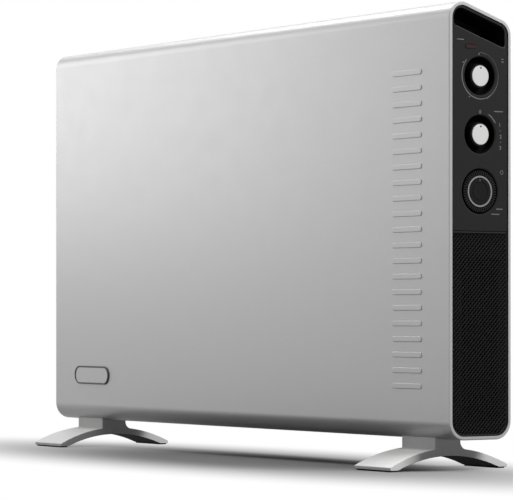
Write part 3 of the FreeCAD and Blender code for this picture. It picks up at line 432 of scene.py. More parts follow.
def repeat(obj, count, step):
    """Copy a shape in a row, each copy one step further."""
    modify(
        obj,
        "ARRAY",
        count=count,
        use_relative_offset=False,
        use_constant_offset=True,
        constant_offset_displace=step,
    )


def polish(obj, angle=35):
    """Smooth shading that keeps flat faces flat and edges over an angle sharp."""
    alone(obj)
    bpy.ops.object.shade_smooth_by_angle(angle=math.radians(angle))
    modify(obj, "WEIGHTED_NORMAL", keep_sharp=True)


def copy_of(obj, name, shift):
    """A copy with its own mesh, moved, its place kept in the mesh."""
    alone(obj)
    bpy.ops.object.duplicate(linked=False)
    bpy.context.object.location = shift
    return settle(name)


def weld(*objs):
    """Join objects into the first of them."""
    bpy.ops.object.select_all(action="DESELECT")
    for obj in objs:
        obj.select_set(True)
    bpy.context.view_layer.objects.active = objs[0]
    bpy.ops.object.join()
    return objs[0]


def coats(obj, base, *extras):
    """Give a piece one finish, and further ones on the faces that pass their tests."""
    obj.data.materials.append(base)
    for index, (coat, test) in enumerate(extras, 1):
        obj.data.materials.append(coat)
        pick(obj, "FACE", test)
        obj.active_material_index = index
        bpy.ops.object.material_slot_assign()
        done()


def fit(obj, body, slot, coat, *nodes):
    """Give a piece its finish, its body and the nodes that it stands for. The slot is not used."""
    if not obj.data.materials:
        obj.data.materials.append(coat)
    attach(obj, body)
    if nodes:
        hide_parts(*nodes)
    print(f"{obj.name}: {len(obj.data.polygons)} faces for {', '.join(nodes) or 'no node'}")


print("finishing: carve, repeat, polish, coats and fit")

# %% [markdown]
# ## Finishes
# Every finish starts from one Principled shader. What makes it a real surface is small: paint has
# an orange-peel skin and fine flakes, moulded plastic has a spark-eroded grain, turned metal has
# rings. Pictures of such surfaces could be wrapped round the pieces, but noise needs no wrapping and
# never repeats. It is read from Object coordinates, which are metres here, so a noise scale of 1000
# has features about a millimetre across.

# %% Finish helpers
TINT_FROM = 0.35
TINT_TO = 0.65


def grey(level):
    """A neutral colour."""
    return (level, level, level)


def shade(colour, factor):
    """A colour made darker or lighter."""
    return [channel * factor for channel in colour]


def new_finish(name, colour, roughness, metallic=0.0, specular=0.5):
    """A material with its plain numbers set on the shader itself."""
    made = bpy.data.materials.new(name)
    made.use_nodes = True
    shader = made.node_tree.nodes["Principled BSDF"]
    shader.inputs["Base Color"].default_value = (*colour, 1)
    shader.inputs["Roughness"].default_value = roughness
    shader.inputs["Metallic"].default_value = metallic
    shader.inputs["Specular IOR Level"].default_value = specular
    return made


def speckle(made, scale, stretch=(1, 1, 1), detail=2.0):
    """Noise on the object's own coordinates."""
    tree = made.node_tree
    place = node(tree, "Mapping")
    place.inputs["Scale"].default_value = stretch
    tree.links.new(node(tree, "TexCoord").outputs["Object"], place.inputs["Vector"])
    noise = node(tree, "TexNoise", scale=scale, detail=detail)
    tree.links.new(place.outputs[0], noise.inputs["Vector"])
    return noise.outputs["Fac"]


def roughen(made, fac, low, high):
    """Let the roughness wander between two values."""
    tree = made.node_tree
    span = node(tree, "MapRange")
    span.inputs["To Min"].default_value = low
    span.inputs["To Max"].default_value = high
    tree.links.new(fac, span.inputs["Value"])
    tree.links.new(span.outputs[0], tree.nodes["Principled BSDF"].inputs["Roughness"])


def tint(made, fac, dark, light):
    """Let the colour wander between two shades."""
    tree = made.node_tree
    ramp = node(tree, "ValToRGB")
    for stop, place, colour in zip(ramp.color_ramp.elements, (TINT_FROM, TINT_TO), (dark, light)):
        stop.position = place
        stop.color = (*colour, 1)
    tree.links.new(fac, ramp.inputs["Fac"])
    tree.links.new(ramp.outputs["Color"], tree.nodes["Principled BSDF"].inputs["Base Color"])


def relief(made, depth, height):
    """Bump from a height; depth is in metres."""
    tree = made.node_tree
    bump = node(tree, "Bump")
    bump.inputs["Strength"].default_value = 1.0
    bump.inputs["Distance"].default_value = depth
    tree.links.new(height, bump.inputs["Height"])
    tree.links.new(bump.outputs["Normal"], tree.nodes["Principled BSDF"].inputs["Normal"])


print("finish helpers: new_finish, speckle, roughen, tint and relief")

# %% [markdown]
# ### Silver paint
# The wrap is sprayed with a satin silver: tiny flakes in a clear binder. A pure metal shader would
# look like bare steel, and a plain grey one like wall paint. Half metal and half paint looks right
# from near and far. The flakes are a fine noise in the colour, and the orange peel is a soft bump a
# few thousandths of a millimetre deep.

# %% Silver paint
FLAKES = 2600
FLAKE_CONTRAST = 0.05
SPRAY_PATCHES = 40
SPRAY_WANDER = 0.03
PEEL = 420
PEEL_DEPTH = 0.006 * MM
SILVER = grey(0.42)


def sprayed(name, colour, roughness, metallic, specular=0.5):
    """Paint with flakes in its colour, slow patches in its gloss and orange peel in its skin."""
    made = new_finish(name, colour, roughness, metallic, specular)
    dark, light = shade(colour, 1 - FLAKE_CONTRAST), shade(colour, 1 + FLAKE_CONTRAST)
    tint(made, speckle(made, FLAKES, detail=1.0), dark, light)
    patches = speckle(made, SPRAY_PATCHES)
    roughen(made, patches, roughness - SPRAY_WANDER, roughness + SPRAY_WANDER)
    relief(made, PEEL_DEPTH, speckle(made, PEEL))
    return made


silver_paint = sprayed("silver_paint", SILVER, roughness=0.42, metallic=0.6)
rear_paint = sprayed("rear_paint", shade(SILVER, 0.8), roughness=0.5, metallic=0.4)
print("paints:", silver_paint.name, rear_paint.name)

# %% [markdown]
# ### Dark plastics
# The end panel is dark satin plastic with a fine erosion grain. The rolled lip of its finger recess
# is a lighter grey: a painted highlight, for the light line along it. The knobs are blacker and
# duller, the timer's tappets a little glossier, and the mesh is black powder coat. The wells behind
# the knobs and the undersides of the feet are painted deep black: painted shade, for the shade in them.
# Weaker lamps would grey the silver too. The plastics stay dark because their reflection is kept
# weak: a low specular level is what a matt moulded skin does to the light.

# %% Dark plastics
EROSION = 900
EROSION_DEPTH = 0.03 * MM
SATIN_DEPTH = 0.01 * MM
MOULD_CONTRAST = 0.15
MOULD_PATCHES = 60
MOULD_WANDER = 0.05


def moulded(name, colour, roughness, specular, grain=EROSION, depth=EROSION_DEPTH):
    """Plastic with the grain of a spark-eroded mould."""
    made = new_finish(name, colour, roughness, specular=specular)
    spots = speckle(made, grain)
    tint(made, spots, shade(colour, 1 - MOULD_CONTRAST), shade(colour, 1 + MOULD_CONTRAST))
    patches = speckle(made, MOULD_PATCHES)
    roughen(made, patches, roughness - MOULD_WANDER, roughness + MOULD_WANDER)
    relief(made, depth, spots)
    return made


fascia_plastic = moulded("fascia_plastic", grey(0.011), 0.42, specular=0.13, depth=SATIN_DEPTH)
# Painted highlight: a lighter grey on the lip of the finger recess.
painted_lip_highlight = moulded("painted_lip_highlight", grey(0.026), 0.4, specular=0.2, depth=SATIN_DEPTH)
black_plastic = moulded("black_plastic", grey(0.005), 0.55, specular=0.12)
# Painted shade: a black with almost no reflection, put on the wells, the cups and the feet's undersides.
painted_shade_black = moulded("painted_shade_black", grey(0.004), 0.7, specular=0.03)
tappet_black = moulded("tappet_black", grey(0.008), 0.4, specular=0.15)
mesh_black = moulded("mesh_black", grey(0.006), 0.38, specular=0.3, grain=1500)
rubber = moulded("pad_rubber", grey(0.014), 0.85, specular=0.2, grain=600, depth=0.06 * MM)
darks = (fascia_plastic, painted_lip_highlight, black_plastic, painted_shade_black, tappet_black, mesh_black, rubber)
print("dark plastics:", ", ".join(made.name for made in darks))

# %% [markdown]
# ### Silver plastics, ink and lens
# The feet are moulded in silver-flecked plastic, smoother than the paint. The knobs' caps are
# turned, so their light runs in rings round the knob's axis. An anisotropic shader could do that,
# but rings in the gloss and in a very fine bump need no direction to be set on the mesh. Ink is
# flat grey, and the lens is deep red.

# %% Silver plastics, ink and lens
RINGS = 900.0
RING_DISTORTION = 1.5
RING_SHADE = 0.94
RING_WANDER = 0.06
RING_DEPTH = 0.004 * MM


def turned_metal(name, colour, roughness, axis_y, axis_z, metallic=0.9):
    """Fine rings round an axis along X, from the distance to that axis."""
    made = new_finish(name, colour, roughness, metallic)
    tree = made.node_tree
    place = node(tree, "Mapping")
    place.inputs["Location"].default_value = (0, -axis_y, -axis_z)
    place.inputs["Scale"].default_value = (0, 1, 1)
    tree.links.new(node(tree, "TexCoord").outputs["Object"], place.inputs["Vector"])
    rings = node(tree, "TexWave", wave_type="RINGS", rings_direction="X", scale=RINGS)
    rings.inputs["Distortion"].default_value = RING_DISTORTION
    tree.links.new(place.outputs[0], rings.inputs["Vector"])
    tint(made, rings.outputs["Fac"], shade(colour, RING_SHADE), colour)
    roughen(made, rings.outputs["Fac"], roughness - RING_WANDER, roughness + RING_WANDER)
    relief(made, RING_DEPTH, rings.outputs["Fac"])
    return made


silver_plastic = sprayed(
    "silver_plastic", (0.7, 0.7, 0.695), roughness=0.4, metallic=0.0, specular=0.3
)
badge_metal = sprayed("badge_metal", grey(0.07), roughness=0.5, metallic=0.1)
ink = new_finish("printed_ink", grey(0.12), roughness=0.6, specular=0.2)
tint(ink, speckle(ink, scale=3000), grey(0.1), grey(0.14))
lens_red = new_finish("lens_red", (0.018, 0.007, 0.007), roughness=0.3, specular=0.2)
tint(lens_red, speckle(lens_red, scale=500), (0.015, 0.006, 0.006), (0.021, 0.008, 0.008))
print("made:", silver_plastic.name, badge_metal.name, ink.name, lens_red.name)

# %% [markdown]
# ### Metals and ceramic inside
# Behind the mesh there are zinc-plated sheet and screws, aluminium fins, sheathed heater rods,
# painted motors and bronze bearings. Little of it is seen, and one grey metal might do, but each gets
# the grain of its kind: plating has a cloudy spangle, aluminium a rolling grain, a hot rod a brown
# bloom. Only the stretch and the size of the noise change, so one function makes them all.

# %% Metals and ceramic inside
CLOUD_DETAIL = 4.0
CLOUD_WANDER = 0.08
CLOUD_GRAIN = 6
CLOUD_DEPTH = 0.01 * MM
ROLLED = (1, 1, 12)


def cloudy(name, colour, roughness, metallic, scale=120, stretch=(1, 1, 1), contrast=0.18):
    """A surface with clouds in its colour and gloss, and a finer grain in its relief."""
    made = new_finish(name, colour, roughness, metallic)
    clouds = speckle(made, scale, stretch, CLOUD_DETAIL)
    tint(made, clouds, shade(colour, 1 - contrast), shade(colour, 1 + contrast / 2))
    roughen(made, clouds, roughness + CLOUD_WANDER, roughness - CLOUD_WANDER)
    relief(made, CLOUD_DEPTH, speckle(made, scale * CLOUD_GRAIN, stretch))
    return made


zinc_steel = cloudy("zinc_steel", (0.56, 0.56, 0.55), 0.38, metallic=1.0)
fin_aluminium = cloudy(
    "fin_aluminium", (0.72, 0.72, 0.73), 0.32, metallic=1.0, scale=60, stretch=ROLLED
)
element_steel = cloudy(
    "element_steel", (0.28, 0.25, 0.22), 0.5, metallic=1.0, scale=50, contrast=0.35
)
# Painted shade: the fans' shafts take this near black so that they stay dark behind the mesh.
painted_shade_steel = cloudy("painted_shade_steel", (0.03, 0.03, 0.032), 0.5, metallic=0.5)
motor_iron = cloudy("motor_iron", (0.06, 0.06, 0.065), 0.5, metallic=0.3)
bearing_bronze = cloudy("bearing_bronze", (0.55, 0.36, 0.16), 0.42, metallic=1.0, scale=400)
ceramic = cloudy("ceramic", (0.78, 0.76, 0.70), 0.6, metallic=0.0, scale=300, contrast=0.08)
print("metals:", zinc_steel.name, fin_aluminium.name, element_steel.name, bearing_bronze.name)

# %% [markdown]
# ## The outline that everything shares
# Seen from its end, the heater is a tall rectangle whose top slopes down to the back, with round
# corners. The wrap, the end panels and the mesh are all that outline, moved inwards by a few
# millimetres. It could be drawn as a curve for each of them, but then their corners would have to be
# kept in step by hand. So it is made once, as a function: a block, its rear top edge pulled down, its
# long edges bevelled.

# %% Shared outline
CASING_LOW, CASING_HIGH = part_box("casing_wrap")
END = CASING_HIGH.x
MID_Y = (CASING_LOW.y + CASING_HIGH.y) / 2
HALF_DEPTH = (CASING_HIGH.y - CASING_LOW.y) / 2
QUARTER = math.pi / 2
TOP_SLOPE = math.radians(18)
TOP_CORNER = 16 * MM
BOTTOM_CORNER = 18 * MM


def end_x(side, depth):
    """X at a depth below the end plane, on the right (1) or the left (-1)."""
    return side * (END - depth)


def top_line(y, inset=0.0):
    """Height of the sloping top at a place across the heater, or of a line that far below it."""
    crown = CASING_HIGH.z - TOP_CORNER + (TOP_CORNER - inset) / math.cos(TOP_SLOPE)
    return crown - math.tan(TOP_SLOPE) * (y - CASING_LOW.y - TOP_CORNER)


def outline_block(
    name, inset, start, stop, bottom=None, top=None, top_corner=TOP_CORNER, bottom_corner=BOTTOM_CORNER
):
    """A block along X with the heater's outline; a given bottom or top is a straight edge instead."""
    half = HALF_DEPTH - inset
    front, rear = MID_Y - half, MID_Y + half
    low = CASING_LOW.z + inset if bottom is None else bottom
    high = top_line(front, inset) if top is None else top
    made = block(name, (start, front, low), (stop, rear, high))
    upper = (low + high) / 2
    if top is None:
        drop = top_line(rear, inset) - high
        move(made, "VERT", lambda v: v.co.y > MID_Y and v.co.z > upper, (0, 0, drop))
        for y, turn in ((front, QUARTER + TOP_SLOPE), (rear, QUARTER - TOP_SLOPE)):
            round_corner(made, ridge(y, top_line(y, inset)), top_corner, turn)
    if bottom is None:
        soften(made, lambda e: runs_along(e, X) and near(middle(e).z, low), bottom_corner, CORNER_STEPS)
    return made


print(f"outline: {2 * END:.3f} m long, top falls {math.degrees(TOP_SLOPE):.0f} degrees to the back")

# %% [markdown]
# ## Casing wrap
# The real wrap is one steel sheet bent round, with its ends folded in to a narrow rim. It could be
# cut hollow with a smaller block, but a sheet is easier to think of as a skin. So the shared outline
# has both ends inset by the rim and opened, the long end edges get the small radius of a fold, the
# air windows and the rear window are bisected out, and Solidify gives the skin its thickness inwards.

# %% Casing wrap
SHEET = 0.8 * MM
RIM = 3.5 * MM
FOLD = 1.3 * MM
FOLD_ANGLE = 1.0
FLAT = 0.9999
GRILLE_LIP = 4 * MM
GRILLE_FLANGE = 2 * MM
REAR_OVERLAP = 12 * MM
ALONG_X, ALONG_Y, ALONG_Z = Vector((1, 0, 0)), Vector((0, 1, 0)), Vector((0, 0, 1))
ACROSS_TOP = Vector((0, math.cos(TOP_SLOPE), -math.sin(TOP_SLOPE)))
TOP_NORMAL = Vector((0, math.sin(TOP_SLOPE), math.cos(TOP_SLOPE)))


def open_window(shell, normal, point, across, half_across, half_length):
    """Cut four lines into a flat side and delete the face between them."""
    def flat(face):
        return face.normal.dot(normal) > FLAT

    def in_window(face):
        place = middle(face) - point
        return flat(face) and abs(place.dot(across)) < half_across and abs(place.x) < half_length

    for sign in (-1, 1):
        for way, half in ((across, half_across), (ALONG_X, half_length)):
            pick(shell, "FACE", flat)
            bpy.ops.mesh.bisect(plane_co=point + sign * half * way, plane_no=way)
            done()
    pick(shell, "FACE", in_window)
    bpy.ops.mesh.delete(type="FACE")
    done()


casing = outline_block("casing", 0, -END, END)
pick(casing, "FACE", lambda f: faces(f, X) or faces(f, X, -1))
inset_faces(RIM)
bpy.ops.mesh.delete(type="FACE")
done()


def folded(edge):
    """True for the sharp edges round either end of the wrap."""
    return near(abs(middle(edge).x), END) and edge.calc_face_angle(0) > FOLD_ANGLE


soften(casing, folded, FOLD, segments=4)
print("casing with its folded ends:", len(casing.data.polygons), "faces")

# %% Windows for the air and the back
outlet_low, outlet_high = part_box("outlet_grille")
top_y = (outlet_low.y + outlet_high.y) / 2 + (SHEET + GRILLE_FLANGE / 2) * math.sin(TOP_SLOPE)
top_middle = Vector((0, top_y, top_line(top_y)))
flange_lean = GRILLE_FLANGE * math.sin(TOP_SLOPE)
top_half = (outlet_high.y - outlet_low.y - flange_lean) / math.cos(TOP_SLOPE) / 2
inlet_low, inlet_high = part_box("inlet_grille")
belly_middle = Vector((0, (inlet_low.y + inlet_high.y) / 2, CASING_LOW.z))
belly_half = (inlet_high.y - inlet_low.y) / 2
rear_low, rear_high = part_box("rear_panel")
rear_middle = Vector((0, CASING_HIGH.y, (rear_low.z + rear_high.z) / 2))
rear_half = (rear_high.z - rear_low.z) / 2
for normal, point, across, half, half_length, lip in (
    (TOP_NORMAL, top_middle, ACROSS_TOP, top_half, outlet_high.x, GRILLE_LIP),
    (-ALONG_Z, belly_middle, ALONG_Y, belly_half, inlet_high.x, GRILLE_LIP),
    (ALONG_Y, rear_middle, ALONG_Z, rear_half, rear_high.x, REAR_OVERLAP),
):
    open_window(casing, normal, point, across, half - lip, half_length - lip)
modify(casing, "SOLIDIFY", thickness=SHEET, offset=-1, use_even_offset=True)
print("casing shell:", len(casing.data.polygons), "faces")

# %% [markdown]
# ## Beads on the front
# A column of plain raised beads stiffens the front near its right end. On steel they are pressed
# from behind. Bump in the paint would give their shading, but not their edge against the light, so
# one bead is modelled as a pill with a rolled edge, copied upwards and joined to the skin.

# %% Raised beads on the front
BEAD_X = 301 * MM
BEAD_LENGTH = 47 * MM
BEAD_HEIGHT = 5.4 * MM
BEAD_RISE = 0.7 * MM
BEAD_SINK = 0.5 * MM
BEAD_ROLL = BEAD_RISE * 0.9
BEAD_PITCH = 15.2 * MM
BEAD_COUNT = 21
BEAD_FIRST_Z = 81 * MM


def front_pill(name, x, z, length, height, rise, sink):
    """A pill lying on the front: a block with its four short edges fully rounded."""
    made = block(
        name,
        (x - length / 2, CASING_LOW.y - rise, z - height / 2),
        (x + length / 2, CASING_LOW.y + sink, z + height / 2),
    )
    round_ends(made, Y, height)
    return made


bead = front_pill("bead", BEAD_X, BEAD_FIRST_Z, BEAD_LENGTH, BEAD_HEIGHT, BEAD_RISE, BEAD_SINK)
ease(bead, Y, CASING_LOW.y - BEAD_RISE, BEAD_ROLL, segments=4)
rest = [copy_of(bead, f"bead_{k}", (0, 0, k * BEAD_PITCH)) for k in range(1, BEAD_COUNT)]
carve(casing, "UNION", weld(bead, *rest))
polish(casing)
fit(casing, "chassis", "silver_paint", silver_paint, "casing_wrap")

# %% [markdown]
# ## Badge
# A small pill-shaped plate is stuck on the front at the lower left. It is bare. Rim and field could
# be two pieces, but the real plate is one, so its front is inset and pushed back: that leaves a
# raised rim round a slightly sunk field. The rim is dark, and the field takes the casing's paint.

# %% Badge
BADGE_RIM = 1.5 * MM
BADGE_SLOPE = 0.3 * MM
BADGE_DIP = 0.6 * MM
BADGE_EASE = 0.25 * MM

low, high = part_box("badge_plate")
badge = front_pill(
    "badge",
    x=(low.x + high.x) / 2,
    z=(low.z + high.z) / 2,
    length=high.x - low.x,
    height=high.z - low.z,
    rise=CASING_LOW.y - low.y,
    sink=0,
)
pick(badge, "FACE", lambda f: faces(f, Y, -1))
inset_faces(BADGE_RIM)
inset_faces(BADGE_SLOPE, -BADGE_DIP)
done()
ease(badge, Y, low.y, BADGE_EASE)
polish(badge)
field_y = low.y + BADGE_DIP
coats(badge, badge_metal, (silver_paint, lambda f: faces(f, Y, -1) and near(middle(f).y, field_y)))
fit(badge, "chassis", "silver_plastic", badge_metal, "badge_plate")

# %% [markdown]
# ## End panels
# Each end is closed by a dark moulded panel set a little below the rim, with a slanted recess for
# the fingers at its top. The hole could be inset and extruded face by face, but a cutter of the same
# shape and a Boolean are quicker and keep the outline clean. Then every front edge gets a small
# bevel, because a moulded edge is never sharp and the light line on it is what shows the hole. The
# lip of the recess rolls in with a larger one, and is painted a lighter grey: a painted highlight.

# %% Sizes and tests for the finger recess
PANEL_DEPTH = 0.8 * MM
PANEL_BACK = 3.3 * MM
PANEL_INSET = 4.0 * MM
PANEL_CORNER = 12 * MM
PANEL_EASE = 0.6 * MM
OVERCUT = 1 * MM
THROUGH = (-OVERCUT, PANEL_BACK + OVERCUT)
SEAM_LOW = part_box("control_fascia")[0].z
HANDLE_DROP = 6.4 * MM
HANDLE_BOTTOM = 24.8 * MM
HANDLE_FRONT = CASING_LOW.y + 6.5 * MM
HANDLE_REAR = CASING_HIGH.y - 7 * MM
HANDLE_FRONT_CORNER = 9 * MM
HANDLE_REAR_CORNER = 8 * MM
HANDLE_CORNER = 2.5 * MM
HANDLE_STEPS = 8
HANDLE_BLANK = (300 * MM, 500 * MM)
RECESS_EASE = 1.4 * MM
MOUTH_SLACK = 0.1 * MM
LIP_LEAN = (0.1, 0.98)


def handle_block(name, side):
    """The finger recess as a cutter: a block whose top and bottom lean with the casing's top."""
    shallow, deep = THROUGH
    low, high = HANDLE_BLANK
    start, stop = end_x(side, shallow), end_x(side, deep)
    made = block(name, (start, HANDLE_FRONT, low), (stop, HANDLE_REAR, high))
    for y in (HANDLE_FRONT, HANDLE_REAR):
        for level, inset in ((high, HANDLE_DROP), (low, HANDLE_BOTTOM)):
            rise = top_line(y, inset) - level
            move(made, "VERT", lambda v: near(v.co.y, y) and near(v.co.z, level), (0, 0, rise))
    for y, inset, radius, turn in (
        (HANDLE_FRONT, HANDLE_DROP, HANDLE_FRONT_CORNER, QUARTER + TOP_SLOPE),
        (HANDLE_REAR, HANDLE_DROP, HANDLE_REAR_CORNER, QUARTER - TOP_SLOPE),
        (HANDLE_FRONT, HANDLE_BOTTOM, HANDLE_CORNER, QUARTER - TOP_SLOPE),
        (HANDLE_REAR, HANDLE_BOTTOM, HANDLE_CORNER, QUARTER + TOP_SLOPE),
    ):
        round_corner(made, ridge(y, top_line(y, inset)), radius, turn, HANDLE_STEPS)
    return made


def in_mouth(place, slack):
    """True inside the mouth of the finger recess, seen from the end, or that little outside it."""
    across = HANDLE_FRONT - slack < place.y < HANDLE_REAR + slack
    low, high = top_line(place.y, HANDLE_BOTTOM + slack), top_line(place.y, HANDLE_DROP - slack)
    return across and low < place.z < high


def ease_recess(obj, side):
    """A wider bevel round the mouth of the finger recess."""
    def on_mouth(v):
        return near(v.co.x, end_x(side, PANEL_DEPTH)) and in_mouth(v.co, MOUTH_SLACK)

    def mouth_edge(edge):
        return all(on_mouth(v) for v in edge.verts) and edge.calc_face_angle(0) > SHARP

    soften(obj, mouth_edge, RECESS_EASE, segments=4)


def on_lip_highlight(face):
    """True for the bevel round the recess, on either end, which takes the painted highlight."""
    least, most = LIP_LEAN
    return least < abs(face.normal.x) < most and in_mouth(middle(face), RECESS_EASE)


print(f"finger recess: {(HANDLE_REAR - HANDLE_FRONT) / MM:.0f} mm from front to back")

# %% Left panel
def end_plate(name, side):
    """The plain panel before anything is cut into it."""
    start, stop = end_x(side, PANEL_BACK), end_x(side, PANEL_DEPTH)
    return outline_block(name, PANEL_INSET, start, stop, SEAM_LOW, top_corner=PANEL_CORNER)


left_panel = end_plate("left_panel", -1)
carve(left_panel, "DIFFERENCE", handle_block("left_recess", -1))
ease_recess(left_panel, -1)
ease(left_panel, X, end_x(-1, PANEL_DEPTH), PANEL_EASE)
polish(left_panel)
# The lip's lighter grey is a painted highlight.
coats(left_panel, fascia_plastic, (painted_lip_highlight, on_lip_highlight))
fit(left_panel, "chassis", "fascia_plastic", fascia_plastic, "left_fascia")

# %% [markdown]
# ## Control panel
# The right panel also has three round holes, where the knobs sit in wells, and a slot for the pilot
# lamp. The same Boolean cuts them with cylinders and a pill. The holes roll in with a wide bevel, as
# the moulding does. Every face that lies deeper than the roll is painted deep black as painted shade,
# so the knobs seem to float.

# %% Places of the knobs and the lamp
KNOB_PIECE = {"thermostat": "thermostat_grip", "selector": "selector_grip", "timer": "timer_dial"}


def knob_spot(node_name):
    """The middle of a round node, seen from the end: its Y and Z and its radius."""
    low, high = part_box(node_name)
    return (low.y + high.y) / 2, (low.z + high.z) / 2, (high.y - low.y) / 2


def end_disc(name, y, z, radius, shallow, deep, sides=72):
    """A round rod along X between two depths below the right end."""
    start, stop = end_x(1, deep), end_x(1, shallow)
    return disc(name, (start, y, z), X, radius, stop - start, sides)


def end_pill(name, y, z, length, height, shallow, deep):
    """A pill lying on the right end, long in Y."""
    made = block(
        name,
        (end_x(1, deep), y - length / 2, z - height / 2),
        (end_x(1, shallow), y + length / 2, z + height / 2),
    )
    round_ends(made, X, height)
    return made


KNOB = {name: knob_spot(piece) for name, piece in KNOB_PIECE.items()}
lens_low, lens_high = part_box("pilot_lens")
LENS_Y, LENS_Z = (lens_low.y + lens_high.y) / 2, (lens_low.z + lens_high.z) / 2
LENS_LENGTH, LENS_HEIGHT = lens_high.y - lens_low.y, lens_high.z - lens_low.z
print("knobs:", {name: f"{radius / MM:.1f} mm" for name, (_, _, radius) in KNOB.items()})

# %% Control panel
PANEL_FACE = end_x(1, PANEL_DEPTH)
WELL_RADIUS = {"thermostat": 18.2 * MM, "selector": 18.2 * MM, "timer": 21.4 * MM}
WELL_EASE = 2.2 * MM
RIM_SLACK = 0.1 * MM
SHADE_BELOW = 1.2 * MM
LENS_GAP = 0.15 * MM


def well_rim(edge):
    """True for the edges where a knob's well meets the panel's face."""
    def on_rim(v, name):
        y, z, _ = KNOB[name]
        reach = math.hypot(v.co.y - y, v.co.z - z)
        return near(v.co.x, PANEL_FACE) and near(reach, WELL_RADIUS[name], RIM_SLACK)

    return any(all(on_rim(v, name) for v in edge.verts) for name in KNOB)


panel = end_plate("control_panel", 1)
slot_length, slot_height = LENS_LENGTH + 2 * LENS_GAP, LENS_HEIGHT + 2 * LENS_GAP
cutters = [handle_block("recess", 1)]
cutters.append(end_pill("lens_slot", LENS_Y, LENS_Z, slot_length, slot_height, *THROUGH))
for name, (y, z, _) in KNOB.items():
    cutters.append(end_disc(name + "_hole", y, z, WELL_RADIUS[name], *THROUGH))
carve(panel, "DIFFERENCE", *cutters)
soften(panel, well_rim, WELL_EASE, segments=5)
ease_recess(panel, 1)
ease(panel, X, PANEL_FACE, PANEL_EASE)
polish(panel)
# Painted shade: every face that lies deeper below the panel's face takes the deep black. The lip's
# lighter grey is a painted highlight.
well_shade = (painted_shade_black, lambda f: middle(f).x < PANEL_FACE - SHADE_BELOW)
coats(panel, fascia_plastic, (painted_lip_highlight, on_lip_highlight), well_shade)
fit(panel, "chassis", "fascia_plastic", fascia_plastic, "control_fascia")

# %% [markdown]
# ## Knob wells
# Behind the holes sit round black cups that close them. They take a deeper black than the knobs:
# painted shade, for the shade in the wells. A cup can be a solid with a smaller one cut out. Here it
# is made as a potter would: the front of a cylinder is inset by the wall and pushed back to the floor,
# which is then bored for the shaft.

# %% Knob wells
WELL_FLOOR = 11.8 * MM
WELL_BACK = 13.4 * MM
WELL_WALL = 1.6 * MM
WELL_FILLET = 1.5 * MM
BUSH_HOLE = {"thermostat": 5.4 * MM, "selector": 5.4 * MM, "timer": 6.4 * MM}
BUSH_SIDES = 40


def knob_well(name):
    """A cup: the front of a cylinder is inset by the wall and pushed back, and its floor is bored."""
    y, z, _ = KNOB[name]
    made = end_disc(name + "_well", y, z, WELL_RADIUS[name] + WELL_WALL, PANEL_BACK, WELL_BACK)
    pick(made, "FACE", lambda f: faces(f, X))
    inset_faces(WELL_WALL)
    extrude_faces((PANEL_BACK - WELL_FLOOR, 0, 0))
    done()
    ease(made, X, end_x(1, WELL_FLOOR), WELL_FILLET, segments=4)
    hole = end_disc("bush_hole", y, z, BUSH_HOLE[name], 0, WELL_BACK + OVERCUT, BUSH_SIDES)
    carve(made, "DIFFERENCE", hole)
    return made


wells = weld(*[knob_well(name) for name in KNOB])
wells.name = "knob_wells"
polish(wells)
# Painted shade: the cups take the deep black for the shade inside the wells.
fit(wells, "chassis", "black_plastic", painted_shade_black, "knob_cups")

# %% [markdown]
# ## Mesh grilles
# Below the seam each end is a fine woven-looking mesh in a narrow frame. A picture of a mesh with
# see-through holes would look flat from the side, and cutting each hole would take thousands of
# cutters. A grid primitive turned by 45 degrees gives the diamonds, bisecting trims it to the
# opening, and Wireframe turns its edges into wires. The frame is the shared outline with a smaller
# one cut out.

# %% Wires
MESH_DEPTH = 1.6 * MM
MESH_BACK = 3.3 * MM
MESH_FRAME = 1.4 * MM
MESH_EASE = 0.15 * MM
MESH_PITCH = 4.4 * MM
MESH_CORNER = 14 * MM
WIRE = 1.6 * MM
SPARE_CELLS = 4
DIAGONAL = math.sqrt(2)
SEAM_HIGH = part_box("right_grille")[1].z


def wire_sheet(side):
    """A sheet of diamond mesh trimmed to lie behind the frame's inner edge."""
    half_y = HALF_DEPTH - PANEL_INSET - MESH_FRAME / 2
    low_z = CASING_LOW.z + PANEL_INSET + MESH_FRAME / 2
    high_z = SEAM_HIGH - MESH_FRAME / 2
    cell = MESH_PITCH / DIAGONAL
    count = int((2 * half_y + high_z - low_z) / DIAGONAL / cell) + SPARE_CELLS
    bpy.ops.object.select_all(action="DESELECT")
    bpy.ops.mesh.primitive_grid_add(
        x_subdivisions=count, y_subdivisions=count, size=count * cell, rotation=(0, 0, QUARTER / 2)
    )
    sheet = settle("wires")
    sheet.rotation_euler = LAID_ALONG[X]
    sheet.location = (end_x(side, (MESH_DEPTH + MESH_BACK) / 2), MID_Y, (low_z + high_z) / 2)
    settle("wires")
    chamfer = (MESH_CORNER - MESH_FRAME / 2) * (2 - DIAGONAL)
    for point, outward in (
        ((0, MID_Y - half_y, 0), (0, -1, 0)),
        ((0, MID_Y + half_y, 0), (0, 1, 0)),
        ((0, 0, low_z), (0, 0, -1)),
        ((0, 0, high_z), (0, 0, 1)),
        ((0, MID_Y - half_y + chamfer, low_z), (0, -1, -1)),
        ((0, MID_Y + half_y - chamfer, low_z), (0, 1, -1)),
    ):
        pick(sheet, "FACE", anything)
        bpy.ops.mesh.bisect(plane_co=point, plane_no=outward, clear_outer=True)
        done()
    modify(sheet, "WIREFRAME", thickness=WIRE, use_even_offset=False, use_boundary=True)
    return sheet


print(f"mesh: one diamond every {MESH_PITCH / MM:.1f} mm")

